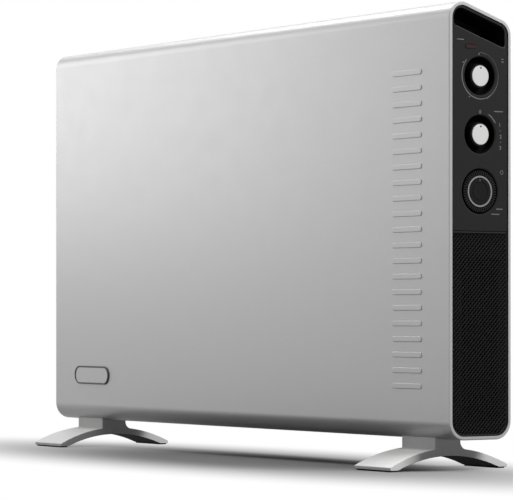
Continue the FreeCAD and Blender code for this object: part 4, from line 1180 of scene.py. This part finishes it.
# %% Mesh grilles
for side, name in ((1, "right"), (-1, "left")):
    border = outline_block(
        name + "_mesh",
        PANEL_INSET,
        end_x(side, MESH_BACK),
        end_x(side, MESH_DEPTH),
        top=SEAM_HIGH,
        bottom_corner=MESH_CORNER,
    )
    opening = outline_block(
        "opening",
        PANEL_INSET + MESH_FRAME,
        end_x(side, MESH_BACK + OVERCUT),
        end_x(side, 0),
        top=SEAM_HIGH - MESH_FRAME,
        bottom_corner=MESH_CORNER - MESH_FRAME,
    )
    carve(border, "DIFFERENCE", opening)
    ease(border, X, end_x(side, MESH_DEPTH), MESH_EASE)
    polish(border)
    mesh_piece = weld(border, wire_sheet(side))
    fit(mesh_piece, "chassis", "mesh_black", mesh_black, name + "_grille")

# %% [markdown]
# ## Knobs
# Each knob is a black grip with a silver cap let into its top. The grip tapers and has fine flutes
# for the fingers. They could be cut by a ring of small cylinders, but a many-sided cylinder has the
# right faces already: it is narrowed at its front, and every second side face is inset and pushed in.
# The top is inset and sunk to a seat for the cap. The cap's shallow crown is stepped inwards ring by
# ring, each ring brought forward a little less than the last.

# %% Knob grips
GRIP_EDGE = 1.4 * MM
GRIP_LAND = 0.4 * MM
GRIP_POLISH = 40
SEAT_GAP = 0.05 * MM
CAP_SEAT = 0.9 * MM
FLUTES = 36
FLUTE_WALL = 0.22 * MM
FLUTE_DEPTH = 0.45 * MM
FLUTE_SIDE = 0.5
SHAFT_HOLE = 3.05 * MM
SHAFT_SIDES = 32


def knob_grip(name):
    """A tapered, fluted grip with a seat for the cap and a hole for the shaft."""
    low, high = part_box(name + "_grip")
    y, z, radius = KNOB[name]
    tip = (knob_spot(name + "_cap")[2] + GRIP_EDGE) / radius
    made = disc(name + "_knob", (low.x, y, z), X, radius, high.x - low.x, 2 * FLUTES)
    pick(made, "VERT", lambda v: near(v.co.x, high.x))
    bpy.ops.transform.resize(value=(1, tip, tip), center_override=(0, y, z))
    done()

    def every_second_side(face):
        place = middle(face)
        turn = math.atan2(place.z - z, place.y - y) / math.pi * FLUTES
        return abs(face.normal.x) < FLUTE_SIDE and round(turn - 0.5) % 2 == 0

    pick(made, "FACE", every_second_side)
    inset_faces(FLUTE_WALL, -FLUTE_DEPTH, each=True)
    done()
    pick(made, "FACE", lambda f: faces(f, X) and near(middle(f).x, high.x))
    inset_faces(GRIP_LAND)
    inset_faces(GRIP_EDGE - GRIP_LAND - SEAT_GAP)
    extrude_faces((-CAP_SEAT, 0, 0))
    done()
    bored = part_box(name + "_shaft")[1].x - low.x + OVERCUT
    carve(made, "DIFFERENCE", disc("hole", (low.x - OVERCUT, y, z), X, SHAFT_HOLE, bored, SHAFT_SIDES))
    polish(made, GRIP_POLISH)
    return made


print("grip:", FLUTES, "flutes")

# %% Knobs with their caps and pointers
CAP_CROWN = 0.8 * MM
CAP_RINGS = ((0.5, 0.3), (1.2, 0.24), (2.4, 0.18), (3.0, 0.08))
CAP_SIDES = 72
CAP_EASE = 0.2 * MM
CAP_COLOUR = (0.66, 0.66, 0.655)
TURNED_ROUGHNESS = 0.36
POINTER_RADIUS = 1.1 * MM
POINTER_FROM_EDGE = 2.6 * MM
POINTER_ROOT = 1.2 * MM
POINTER_LENGTH = 1.05 * MM
POINTER_SIDES = 24
POINTER_EASE = 0.15 * MM
EASE_OVER = 40
CAP_POLISH = 50


def step_rings(obj, rings):
    """Step the front of a disc inwards, each ring a width and a rise in millimetres."""
    pick(obj, "FACE", lambda f: faces(f, X))
    for width, rise in rings:
        inset_faces(width * MM)
        slide((rise * MM, 0, 0))
    done()


def knob_cap(name):
    """A silver button with a shallow crown."""
    low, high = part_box(name + "_cap")
    y, z, radius = knob_spot(name + "_cap")
    made = disc(name + "_button", (low.x, y, z), X, radius, high.x - CAP_CROWN - low.x, CAP_SIDES)
    step_rings(made, CAP_RINGS)
    ease_all(made, CAP_EASE, segments=2, degrees=EASE_OVER)
    polish(made, CAP_POLISH)
    return made


def knob_pointer(name):
    """A dark dot let into the cap near its edge, to read the setting by."""
    y, z, radius = knob_spot(name + "_cap")
    root = (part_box(name + "_cap")[1].x - POINTER_ROOT, y, z + radius - POINTER_FROM_EDGE)
    made = disc(name + "_pointer", root, X, POINTER_RADIUS, POINTER_LENGTH, POINTER_SIDES)
    ease_all(made, POINTER_EASE, segments=2, degrees=EASE_OVER)
    polish(made, CAP_POLISH)
    return made


for name in ("thermostat", "selector"):
    y, z, _ = KNOB[name]
    cap_metal = turned_metal(name + "_cap_metal", CAP_COLOUR, TURNED_ROUGHNESS, y, z)
    fit(knob_grip(name), name, "black_plastic", black_plastic, name + "_grip")
    fit(knob_cap(name), name, "silver_plastic", cap_metal, name + "_cap")
    fit(knob_pointer(name), name, "black_plastic", black_plastic)

# %% [markdown]
# ## Timer
# The timer is a dial that turns once a day. Round its rim stand 48 small tappets that are pushed in
# or pulled out to switch the heat. An Array with an empty could set them round, but one tappet spun
# round the axis needs nothing else. The dial itself is a disc whose front is inset and drawn out to a
# hub, with a seat cut into it for the knob in its middle.

# %% Timer dial
DIAL_FLANGE = 4 * MM
DIAL_EASE = 0.3 * MM
HUB_RADIUS = 16 * MM
DIAL_SIDES = 96
BORE_SIDES = 48
MODE_SEAT_GAP = 0.3 * MM
MODE_SEAT_UNDER = 0.1 * MM
MODE_SEAT_CUT = 10 * MM
TIMER_Y, TIMER_Z, DIAL_RADIUS = KNOB["timer"]
MODE_LOW, MODE_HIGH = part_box("timer_mode_knob")
MODE_RADIUS = (MODE_HIGH.y - MODE_LOW.y) / 2


def timer_disc(name, x, radius, length, sides=DIAL_SIDES):
    """A round blank on the timer's axis."""
    return disc(name, (x, TIMER_Y, TIMER_Z), X, radius, length, sides)


low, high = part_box("timer_dial")
dial = timer_disc("timer_wheel", low.x, DIAL_RADIUS, DIAL_FLANGE)
pick(dial, "FACE", lambda f: faces(f, X))
inset_faces(DIAL_RADIUS - HUB_RADIUS)
extrude_faces((high.x - low.x - DIAL_FLANGE, 0, 0))
done()
bore = timer_disc("bore", low.x - OVERCUT, BUSH_HOLE["timer"], high.x - low.x + 2 * OVERCUT, BORE_SIDES)
seat = timer_disc("seat", MODE_LOW.x - MODE_SEAT_UNDER, MODE_RADIUS + MODE_SEAT_GAP, MODE_SEAT_CUT)
carve(dial, "DIFFERENCE", bore, seat)
ease(dial, X, high.x, DIAL_EASE)
polish(dial)
fit(dial, "timer", "black_plastic", black_plastic, "timer_dial")

# %% Timer tappets
TAPPETS = 48
TAPPET_WIDTH = 1.6 * MM
TAPPET_EASE = 0.35 * MM

low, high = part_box("timer_tappets")
TAPPET_REACH = (high.z - low.z) / 2
tappets = block(
    "timer_pins",
    (low.x, TIMER_Y - TAPPET_WIDTH / 2, TIMER_Z + HUB_RADIUS),
    (high.x, TIMER_Y + TAPPET_WIDTH / 2, TIMER_Z + TAPPET_REACH),
)
ease(tappets, X, high.x, TAPPET_EASE, segments=2)
copy_round(tappets, TAPPETS, TIMER_Y, TIMER_Z)
polish(tappets)
fit(tappets, "timer", "black_plastic", tappet_black, "timer_tappets")

# %% [markdown]
# ## Timer scale ring
# Inside the tappets lies a dull silver ring with a mark for every half hour. The marks could be
# painted by a texture, but at this size a thin bar with its own edge stays sharper. One bar is spun
# round the axis, as the tappet was.

# %% Timer scale ring
RING_GAP = 0.6 * MM
RING_CUT = 4 * MM
RING_EASE = 0.2 * MM
RING_COLOUR = (0.28, 0.28, 0.278)
TICKS = 48
TICK_HALF_WIDTH = 0.16 * MM
TICK_SINK = 0.2 * MM
TICK_RISE = 0.03 * MM
TICK_INNER = 0.45 * MM
TICK_OUTER = 0.35 * MM

low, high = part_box("timer_scale_ring")
RING_RADIUS = (high.y - low.y) / 2
RING_INNER = MODE_RADIUS + RING_GAP
ring = timer_disc("timer_ring", low.x, RING_RADIUS, high.x - low.x)
carve(ring, "DIFFERENCE", timer_disc("ring_hole", low.x - OVERCUT, RING_INNER, RING_CUT))
ease(ring, X, high.x, RING_EASE, segments=2)
polish(ring)
ring_metal = turned_metal("timer_ring_metal", RING_COLOUR, TURNED_ROUGHNESS, TIMER_Y, TIMER_Z)
fit(ring, "timer", "silver_plastic", ring_metal, "timer_scale_ring")
ticks = block(
    "timer_ticks",
    (high.x - TICK_SINK, TIMER_Y - TICK_HALF_WIDTH, TIMER_Z + RING_INNER + TICK_INNER),
    (high.x + TICK_RISE, TIMER_Y + TICK_HALF_WIDTH, TIMER_Z + RING_RADIUS - TICK_OUTER),
)
copy_round(ticks, TICKS, TIMER_Y, TIMER_Z)
fit(ticks, "timer", None, black_plastic)

# %% [markdown]
# ## Timer switch
# In the middle of the dial is a flat knob that picks off, timer or always on. Its face is turned: a
# groove near the rim and a shallow dish. A lathe profile could be spun, but stepping the front face
# inwards ring by ring, as for the caps, keeps it in one move. A short printed mark shows where it
# points.

# %% Timer switch
RIM_RINGS = ((0.5, 0), (1.0, 0), (1.6, 0))
GROOVE_RINGS = ((0.35, -0.5), (0.7, 0), (0.35, 0.5))
DISH_RINGS = ((5.4, -0.25), (0.8, 0), (0.2, 0.25))
MODE_EASE = 0.15 * MM
MARK_HALF_WIDTH = 0.35 * MM
MARK_SINK = 0.3 * MM
MARK_RISE = 0.02 * MM
MARK_INNER = 3.0 * MM
MARK_OUTER = 0.8 * MM
MARK_EASE = 0.3 * MM

mode_knob = timer_disc("timer_switch", MODE_LOW.x, MODE_RADIUS, MODE_HIGH.x - MODE_LOW.x)
step_rings(mode_knob, RIM_RINGS + GROOVE_RINGS + DISH_RINGS)
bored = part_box("timer_mode_spindle")[1].x - MODE_LOW.x + OVERCUT
hole = timer_disc("spindle_hole", MODE_LOW.x - OVERCUT, SHAFT_HOLE, bored, SHAFT_SIDES)
carve(mode_knob, "DIFFERENCE", hole)
ease(mode_knob, X, MODE_HIGH.x, MODE_EASE, segments=2)
polish(mode_knob)
fit(mode_knob, "timer_mode", "black_plastic", black_plastic, "timer_mode_knob")
mark = block(
    "timer_switch_mark",
    (MODE_HIGH.x - MARK_SINK, TIMER_Y - MARK_HALF_WIDTH, TIMER_Z + MODE_RADIUS - MARK_INNER),
    (MODE_HIGH.x + MARK_RISE, TIMER_Y + MARK_HALF_WIDTH, TIMER_Z + MODE_RADIUS - MARK_OUTER),
)
soften(mark, lambda e: runs_along(e, X), MARK_EASE)
fit(mark, "timer_mode", None, ink)

# %% [markdown]
# ## Pilot lamp
# A long narrow lens under the finger recess glows when the heater is on. A stretched ball would be
# too fat in its middle, so it is a pill with a rounded front, in deep red plastic.

# %% Pilot lamp
LENS_EASE = 0.35 * MM
LENS_POLISH = 60

lens_depths = (END - lens_high.x, END - lens_low.x)
lens = end_pill("pilot_lamp", LENS_Y, LENS_Z, LENS_LENGTH, LENS_HEIGHT, *lens_depths)
ease(lens, X, lens_high.x, LENS_EASE, segments=4)
polish(lens, LENS_POLISH)
fit(lens, "chassis", "lens_red", lens_red, "pilot_lens")

# %% [markdown]
# ## Printed marks
# The panel carries thin printed marks: a growing arc round the thermostat, numbers round the
# selector and short bars. They could be a picture on the panel, but then they would blur near by. Ink
# has hardly any thickness, so each mark is a very thin solid that stands a few hundredths of a
# millimetre proud. The arc is one disc less another that is a little off its centre. The numbers are
# text objects turned into meshes. Places are in millimetres from a knob's middle.

# %% Printing helpers
INK_SINK = 0.2 * MM
INK_RISE = 0.04 * MM
INK_DEPTHS = (PANEL_DEPTH - INK_RISE, PANEL_DEPTH + INK_SINK)
ARC_RADIUS = 22.6 * MM
ARC_THIN = 0.6 * MM
ARC_SHIFT = 0.3 * MM
ARC_SIDES = 96
DOT_SIDES = 20
DIGIT_SIZE = 5.0 * MM
DIGIT_WEIGHT = 0.12 * MM


def beside(knob, y, z):
    """The Y and Z of a place that many millimetres from a knob's middle."""
    return KNOB[knob][0] + y * MM, KNOB[knob][1] + z * MM


def stamp_dot(knob, y, z, radius):
    """A printed dot."""
    return end_disc("dot", *beside(knob, y, z), radius * MM, *INK_DEPTHS, DOT_SIDES)


def stamp_bar(knob, y, z, length, height):
    """A printed bar with round ends."""
    return end_pill("bar", *beside(knob, y, z), length * MM, height * MM, *INK_DEPTHS)


def stamp_digit(knob, sign, y, z):
    """A number: text, turned into a mesh, then stood up on the panel."""
    bpy.ops.object.select_all(action="DESELECT")
    bpy.ops.object.text_add()
    text = bpy.context.object.data
    text.body = sign
    text.size = DIGIT_SIZE
    text.align_x = "CENTER"
    text.align_y = "CENTER"
    text.extrude = INK_RISE
    text.offset = DIGIT_WEIGHT
    bpy.ops.object.convert(target="MESH")
    made = bpy.context.object
    made.rotation_euler = (QUARTER, 0, QUARTER)
    made.location = (PANEL_FACE, *beside(knob, y, z))
    return settle("digit_" + sign)


def stamp_ring(knob, y, z, radius, hole_y, hole_z, hole_radius, sides):
    """A printed ring; a hole that is off the middle makes it thicker on one side."""
    made = end_disc("arc", *beside(knob, y, z), radius, *INK_DEPTHS, sides)
    hole = end_disc("arc_hole", *beside(knob, hole_y, hole_z), hole_radius, -OVERCUT, PANEL_BACK, sides)
    carve(made, "DIFFERENCE", hole)
    return made


def stamp_arc(knob, shift, gaps):
    """A ring that grows thicker along its way, less the gaps from one corner to another."""
    made = stamp_ring(knob, 0, 0, ARC_RADIUS, shift / MM, shift / MM, ARC_RADIUS - ARC_THIN, ARC_SIDES)
    for y0, z0, y1, z1 in gaps:
        low = (end_x(1, PANEL_BACK), *beside(knob, y0, z0))
        high = (end_x(1, -OVERCUT), *beside(knob, y1, z1))
        carve(made, "DIFFERENCE", block("gap", low, high))
    return made


print("printing helpers: dot, bar, digit, ring and arc")

# %% Printed marks
ARC_GAPS = {
    "thermostat": [(-30, 15, -1.5, 30)],
    "selector": [(-30, -30, 3, 30), (2, -30, 30, 11.5), (2, 19.5, 12, 30)],
}
DOTS = (
    ("thermostat", -1.3, 20.9, 0.8),
    ("thermostat", -20.6, 12.2, 0.8),
    ("thermostat", -13, -20.4, 0.8),
    ("thermostat", 9.2, -20.9, 0.8),
    ("selector", 24.6, 4.2, 0.55),
    ("selector", 25.2, -6.8, 0.55),
)
BARS = (
    ("thermostat", 27.8, 14.6, 2.6, 1.0),
    ("thermostat", 27.8, 17.2, 2.6, 1.0),
    ("thermostat", -24.0, 34.0, 8.4, 0.9),
    ("selector", 22.8, 22.7, 11.0, 1.0),
    ("timer", 24.0, -16.6, 8.0, 1.0),
    ("timer", 19.0, -21.6, 10.0, 1.0),
)
DIGITS = (("0", 0, 21.4), ("1", 24.3, 9.6), ("2", 25.4, -1.6), ("3", 25.0, -12.4))
CLOCK_SIGN = (26.8, 18.9)
CLOCK_RADIUS = 2.0 * MM
CLOCK_HOLE = 1.4 * MM

marks = [stamp_arc("thermostat", ARC_SHIFT, ARC_GAPS["thermostat"])]
marks += [stamp_arc("selector", -ARC_SHIFT, ARC_GAPS["selector"])]
marks += [stamp_dot(*dot) for dot in DOTS]
marks += [stamp_bar(*bar) for bar in BARS]
marks += [stamp_digit("selector", *digit) for digit in DIGITS]
marks += [stamp_ring("timer", *CLOCK_SIGN, CLOCK_RADIUS, *CLOCK_SIGN, CLOCK_HOLE, DOT_SIDES)]
prints = weld(*marks)
prints.name = "printed_marks"
fit(prints, "chassis", None, ink)

# %% [markdown]
# ## Feet
# A foot is an arch that stands on its two tips, with a square post in the middle that carries the
# casing. Its outline could be drawn and extruded, but its width changes too. So it is cut into rows
# along its length, and each row is lifted to the arch and narrowed towards the post, like ribs in a
# boat. The post is extruded from the top and follows the casing's round belly. Behind it a wide bevel
# makes the sweep into the rear leg, and in front the line is crisp. The faces that look down are
# painted deep black: painted shade under the arch.

# %% Lines of a foot
FOOT_LOW, FOOT_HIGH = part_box("right_foot")
FOOT_X = (FOOT_LOW.x + FOOT_HIGH.x) / 2
FLOOR_Z = FOOT_LOW.z
TIP = FOOT_HIGH.y
TIP_HALF_WIDTH = (FOOT_HIGH.x - FOOT_LOW.x) / 2
TIP_THICKNESS = 3.2 * MM
TIP_TOP = FLOOR_Z + TIP_THICKNESS
HEEL = TIP - 9.5 * MM
UNDER_CROWN = 13.5 * MM
OVER_CROWN = 21 * MM
POST_HALF_WIDTH = 26.5 * MM
POST_HALF_DEPTH = 15.5 * MM
TIP_ROWS = [TIP - 1.2 * MM, TIP - 4 * MM, HEEL]
LEG_ROWS = [52 * MM, 45 * MM, 37 * MM, 29 * MM, 22 * MM]
POST_ROWS = [POST_HALF_DEPTH, 11.5 * MM, 7.5 * MM]
HALF_ROWS = TIP_ROWS + LEG_ROWS + POST_ROWS
FOOT_ROWS = [-y for y in HALF_ROWS] + [0.0] + HALF_ROWS[::-1]


def bow(y, half, ends, crown):
    """Height of a circular arch at a place along its span."""
    rise = crown - ends
    radius = (half * half + rise * rise) / (2 * rise)
    return crown - radius + math.sqrt(radius * radius - min(abs(y), half) ** 2)


def over(y):
    """Height of the foot's upper side."""
    return bow(y, TIP, TIP_TOP, OVER_CROWN)


def belly_line(y):
    """The casing's underside at a place across it, where the front corner starts to rise."""
    corner = CASING_LOW.y + BOTTOM_CORNER
    if y >= corner:
        return CASING_LOW.z
    return CASING_LOW.z + BOTTOM_CORNER - math.sqrt(BOTTOM_CORNER ** 2 - (corner - y) ** 2)


print("foot:", len(FOOT_ROWS), "rows from tip to tip")

# %% Shaping a foot
LOOKING_UP = 0.9
POST_LIFT = 100 * MM
POST_ABOVE = 80 * MM
SWEEP = 7 * MM


def shape_row(foot, x, y):
    """Lift one row of the foot to its arch and narrow it towards the post."""
    under = bow(y, HEEL, FLOOR_Z, UNDER_CROWN)
    for level, height in ((TIP_TOP, over(y)), (FLOOR_Z, under)):
        move(foot, "VERT", lambda v: near(v.co.y, y) and near(v.co.z, level), (0, 0, height - level))
    share = max(0.0, (abs(y) - POST_HALF_DEPTH) / (TIP - POST_HALF_DEPTH))
    width = POST_HALF_WIDTH + (TIP_HALF_WIDTH - POST_HALF_WIDTH) * share
    pick(foot, "VERT", lambda v: near(v.co.y, y))
    bpy.ops.transform.resize(value=(width / TIP_HALF_WIDTH, 1, 1), center_override=(x, 0, 0))
    done()


def raise_post(foot):
    """Extrude the post from the middle of the arch and fit its top to the casing."""
    pick(foot, "FACE", lambda f: f.normal.z > LOOKING_UP and abs(middle(f).y) < POST_HALF_DEPTH)
    extrude_faces((0, 0, POST_LIFT))
    done()
    for y in FOOT_ROWS:
        if abs(y) <= POST_HALF_DEPTH + CLOSE:
            drop = belly_line(y) - (over(y) + POST_LIFT)
            move(foot, "VERT", lambda v: near(v.co.y, y) and v.co.z > POST_ABOVE, (0, 0, drop))
    soften(foot, ridge(POST_HALF_DEPTH, over(POST_HALF_DEPTH)), SWEEP, segments=6)


def make_foot(name, x):
    """One foot, from a flat bar to arch and post."""
    made = block(name, (x - TIP_HALF_WIDTH, -TIP, FLOOR_Z), (x + TIP_HALF_WIDTH, TIP, TIP_TOP))
    for y in FOOT_ROWS:
        pick(made, "FACE", anything)
        bpy.ops.mesh.bisect(plane_co=(0, y, 0), plane_no=(0, 1, 0))
        done()
    for y in FOOT_ROWS:
        shape_row(made, x, y)
    raise_post(made)
    return made


print("shaping: rows first, then the post")

# %% Feet with their screw pits
FOOT_EASE = 1.3 * MM
FOOT_EASE_OVER = 38
FOOT_POLISH = 32
SCREW_SPREAD = 14 * MM
SCREW_PIT = 4.5 * MM
SCREW_SEAT = 24 * MM
PIT_SIDES = 32
SHADED_UNDERSIDE = -0.5

for side, name in ((1, "right"), (-1, "left")):
    foot = make_foot(name + "_stand", side * FOOT_X)
    ease_all(foot, FOOT_EASE, segments=3, degrees=FOOT_EASE_OVER)
    for k in (-1, 1):
        root = (side * FOOT_X + k * SCREW_SPREAD, 0, 0)
        carve(foot, "DIFFERENCE", disc("pit", root, Z, SCREW_PIT, SCREW_SEAT, PIT_SIDES))
    polish(foot, FOOT_POLISH)
    # Painted shade: the faces that look down take the deep black.
    coats(foot, silver_plastic, (painted_shade_black, lambda f: f.normal.z < SHADED_UNDERSIDE))
    fit(foot, "chassis", "silver_plastic", silver_plastic, name + "_foot")

# %% [markdown]
# ## Air grilles
# Warm air leaves through the sloping top and cold air comes in through the bottom. Both are one
# moulding: a plate with a flange behind it and a long row of slots. It could be modelled in place, on
# the slope, but it is drawn lying flat at the origin, where slots and edges are easy to pick, and
# tipped into its place at the end.

# %% Air grilles
SLOT_WIDTH = 6 * MM
SLOT_PITCH = 10 * MM
SLOT_MARGIN = 3 * MM
SLOT_ROUND = 2.2 * MM
SLOT_CUT = 20 * MM
GRILLE_GAP = 0.3 * MM
GRILLE_EASE = 0.7 * MM


def air_grille(name, half_long, half_wide, place, tip):
    """A slotted plate whose bars are rounded on the outside."""
    plate_long, plate_wide = half_long - GRILLE_LIP - GRILLE_GAP, half_wide - GRILLE_LIP - GRILLE_GAP
    plate_low, flange_low = -SHEET - GRILLE_FLANGE / 2, -SHEET - GRILLE_FLANGE
    made = block(name, (-plate_long, -plate_wide, plate_low), (plate_long, plate_wide, 0))
    flange = block("flange", (-half_long, -half_wide, flange_low), (half_long, half_wide, -SHEET))
    carve(made, "UNION", flange)
    slot_half = plate_wide - SLOT_MARGIN
    count = int((2 * (plate_long - SLOT_MARGIN) - SLOT_WIDTH) / SLOT_PITCH) + 1
    first = -SLOT_PITCH * (count - 1) / 2
    left, right = first - SLOT_WIDTH / 2, first + SLOT_WIDTH / 2
    slots = block("slots", (left, -slot_half, -SLOT_CUT), (right, slot_half, SLOT_CUT))
    soften(slots, lambda e: runs_along(e, Z), SLOT_ROUND, segments=4)
    repeat(slots, count, (SLOT_PITCH, 0, 0))
    carve(made, "DIFFERENCE", slots)
    ease(made, Z, 0, GRILLE_EASE)
    alone(made)
    made.rotation_euler = (tip, 0, 0)
    made.location = place
    settle(name)
    polish(made)
    return made


outlet = air_grille("top_grille", outlet_high.x, top_half, top_middle, -TOP_SLOPE)
fit(outlet, "chassis", "black_plastic", black_plastic, "outlet_grille")
inlet = air_grille("bottom_grille", inlet_high.x, belly_half, belly_middle, math.pi)
fit(inlet, "chassis", "black_plastic", black_plastic, "inlet_grille")

# %% [markdown]
# ## Rear panel
# The back is a flat painted sheet screwed over the rear window. Three blocks of pressed louvres let
# air in low down. A press would lance and bend the sheet, which takes many moves in a mesh. One
# louvre is made as a small hood instead: a block with its outer edges rolled over and its underside
# hollowed, set over a slot. Hood and slot are copied in rows and columns by Array modifiers.

# %% Places of the louvres
LOUVRE_LENGTH = 150 * MM
LOUVRE_HEIGHT = 4 * MM
LOUVRE_PITCH = 9 * MM
LOUVRE_ROWS = 8
LOUVRE_SPREAD = 190 * MM
LOUVRE_COLUMNS = 3
LOUVRE_RISE = 40 * MM
FIRST_X = -LOUVRE_SPREAD * (LOUVRE_COLUMNS - 1) / 2
FIRST_Z = rear_low.z + LOUVRE_RISE
LEFT_X, RIGHT_X = FIRST_X - LOUVRE_LENGTH / 2, FIRST_X + LOUVRE_LENGTH / 2


def louvre_field(obj):
    """Repeat one louvre upwards and sideways."""
    repeat(obj, LOUVRE_ROWS, (0, 0, LOUVRE_PITCH))
    repeat(obj, LOUVRE_COLUMNS, (LOUVRE_SPREAD, 0, 0))
    return obj


print("louvres:", LOUVRE_ROWS, "rows in", LOUVRE_COLUMNS, "columns")

# %% Sheet with its slots
REAR_CORNER = 4 * MM
REAR_EASE = 0.25 * MM
GLAND_BARREL = 6.2 * MM
GLAND_CUT = 4 * MM
GLAND_SIDES = 48
GLAND_LOW, GLAND_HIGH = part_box("cord_gland")
GLAND_X, GLAND_Z = (GLAND_LOW.x + GLAND_HIGH.x) / 2, (GLAND_LOW.z + GLAND_HIGH.z) / 2


def gland_disc(name, y, radius, length):
    """A round blank on the axis of the cord's way."""
    return disc(name, (GLAND_X, y, GLAND_Z), Y, radius, length, GLAND_SIDES)


back_panel = block("back_panel", rear_low, rear_high)
soften(back_panel, lambda e: runs_along(e, Y), REAR_CORNER, segments=5)
slot = block(
    "slots",
    (LEFT_X, rear_low.y - OVERCUT, FIRST_Z),
    (RIGHT_X, rear_high.y + OVERCUT, FIRST_Z + LOUVRE_HEIGHT),
)
gland_hole = gland_disc("gland_hole", rear_low.y - OVERCUT, GLAND_BARREL, GLAND_CUT)
carve(back_panel, "DIFFERENCE", louvre_field(slot), gland_hole)
ease(back_panel, Y, rear_high.y, REAR_EASE, segments=2)
print("rear sheet with slots:", len(back_panel.data.polygons), "faces")

# %% Louvre hoods
HOOD_RISE = 2.2 * MM
HOOD_ROLL = 1.9 * MM
HOOD_WALL = 0.5 * MM
HOOD_SIDE = 1.5 * MM
HOOD_ROOT = 0.1 * MM
HOOD_SILL = 0.2 * MM
HOOD_TOP = 1.8 * MM

crest = rear_high.y + HOOD_RISE
sill = FIRST_Z - HOOD_SILL
hood = block(
    "hood",
    (LEFT_X - HOOD_SIDE, rear_high.y - HOOD_ROOT, sill),
    (RIGHT_X + HOOD_SIDE, crest, FIRST_Z + LOUVRE_HEIGHT + HOOD_TOP),
)
soften(hood, lambda e: near(middle(e).y, crest) and not near(middle(e).z, sill), HOOD_ROLL, segments=5)
pick(hood, "FACE", lambda f: faces(f, Z, -1))
inset_faces(HOOD_WALL)
extrude_faces((0, 0, LOUVRE_HEIGHT))
done()
back_panel = weld(back_panel, louvre_field(hood))
polish(back_panel)
fit(back_panel, "chassis", "rear_paint", rear_paint, "rear_panel")

# %% [markdown]
# ## Rear screws and cord bush
# The sheet is held by screws with domed heads and a cross cut into them, and the cord comes in
# through a ribbed black bush. A dome could be half a ball, but a screw's head is flatter: a disc
# with its front edge rolled. The bush is a disc whose side faces are each inset and pushed in, which
# leaves ribs between them, and a barrel through the sheet carries the bore.

# %% Rear screws
SCREW_HEAD = 3 * MM
SCREW_HEIGHT = 2 * MM
SCREW_ROLL = 1.4 * MM
SCREW_SIDES = 32
SCREW_COLUMNS = 4
SCREW_ROWS = 2
CROSS_REACH = 1.7 * MM
CROSS_HALF_WIDTH = 0.35 * MM
CROSS_DEPTH = 1 * MM

low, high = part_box("rear_screws")
head = Vector((low.x + SCREW_HEAD, high.y, low.z + SCREW_HEAD))
root = head - SCREW_HEIGHT * ALONG_Y
screw = disc("back_screws", root, Y, SCREW_HEAD, SCREW_HEIGHT, SCREW_SIDES)
ease(screw, Y, high.y, SCREW_ROLL, segments=4)
for wide, tall in ((CROSS_REACH, CROSS_HALF_WIDTH), (CROSS_HALF_WIDTH, CROSS_REACH)):
    reach = Vector((wide, CROSS_DEPTH, tall))
    carve(screw, "DIFFERENCE", block("cross", head - reach, head + reach))
repeat(screw, SCREW_COLUMNS, ((high.x - low.x - 2 * SCREW_HEAD) / (SCREW_COLUMNS - 1), 0, 0))
repeat(screw, SCREW_ROWS, (0, 0, high.z - low.z - 2 * SCREW_HEAD))
polish(screw)
fit(screw, "chassis", "zinc_steel", zinc_steel, "rear_screws")

# %% Cord bush
GLAND_FLANGE = 3 * MM
GLAND_RADIUS = (GLAND_HIGH.x - GLAND_LOW.x) / 2
GLAND_EASE = 0.5 * MM
GLAND_POLISH = 40
RIB_WALL = 0.25 * MM
RIB_DEPTH = 0.35 * MM
SIDEWAYS = 0.1
BARREL_GAP = 0.2 * MM
CORD_WAY = 4 * MM
CORD_WAY_LENGTH = 20 * MM

bush = gland_disc("cord_bush", GLAND_HIGH.y - GLAND_FLANGE, GLAND_RADIUS, GLAND_FLANGE)
pick(bush, "FACE", lambda f: abs(f.normal.y) < SIDEWAYS)
inset_faces(RIB_WALL, -RIB_DEPTH, each=True)
done()
barrel_length = GLAND_HIGH.y - GLAND_LOW.y - OVERCUT
carve(bush, "UNION", gland_disc("barrel", GLAND_LOW.y, GLAND_BARREL - BARREL_GAP, barrel_length))
carve(bush, "DIFFERENCE", gland_disc("way", GLAND_LOW.y - OVERCUT, CORD_WAY, CORD_WAY_LENGTH))
ease(bush, Y, GLAND_HIGH.y, GLAND_EASE)
polish(bush, GLAND_POLISH)
fit(bush, "chassis", "black_plastic", black_plastic, "cord_gland")

# %% [markdown]
# ## Solids that keep their shape
# Frames, brackets, fans and heater are seen only through gaps, and their imported shapes are right. They
# could be modelled again, but nobody would see the difference. They keep those shapes and take a
# finish each, by the slot that the record names for them. The fans' shafts are painted near black,
# a painted shade, so that they stay dark behind the mesh.

# %% Finishes for the imported solids
FINISH_OF_SLOT = {
    "silver_paint": silver_paint,
    "rear_paint": rear_paint,
    "fascia_plastic": fascia_plastic,
    "black_plastic": black_plastic,
    "mesh_black": mesh_black,
    "silver_plastic": silver_plastic,
    "rubber": rubber,
    "zinc_steel": zinc_steel,
    "element_steel": element_steel,
    "fin_aluminium": fin_aluminium,
    "motor_iron": motor_iron,
    "bearing_bronze": bearing_bronze,
    "ceramic": ceramic,
    "lens_red": lens_red,
}
for row in frame["record"]["subparts"]:
    solid = frame["nodes"][row["node"]].data
    solid.materials.clear()
    solid.materials.append(FINISH_OF_SLOT[row["material_slot"]])
for side in ("left", "right"):
    frame["nodes"][side + "_fan_shaft"].data.materials[0] = painted_shade_steel
kept = [name for name, solid in frame["nodes"].items() if not solid.hide_render]
print(len(kept), "packed solids keep their shape:", ", ".join(sorted(kept)))
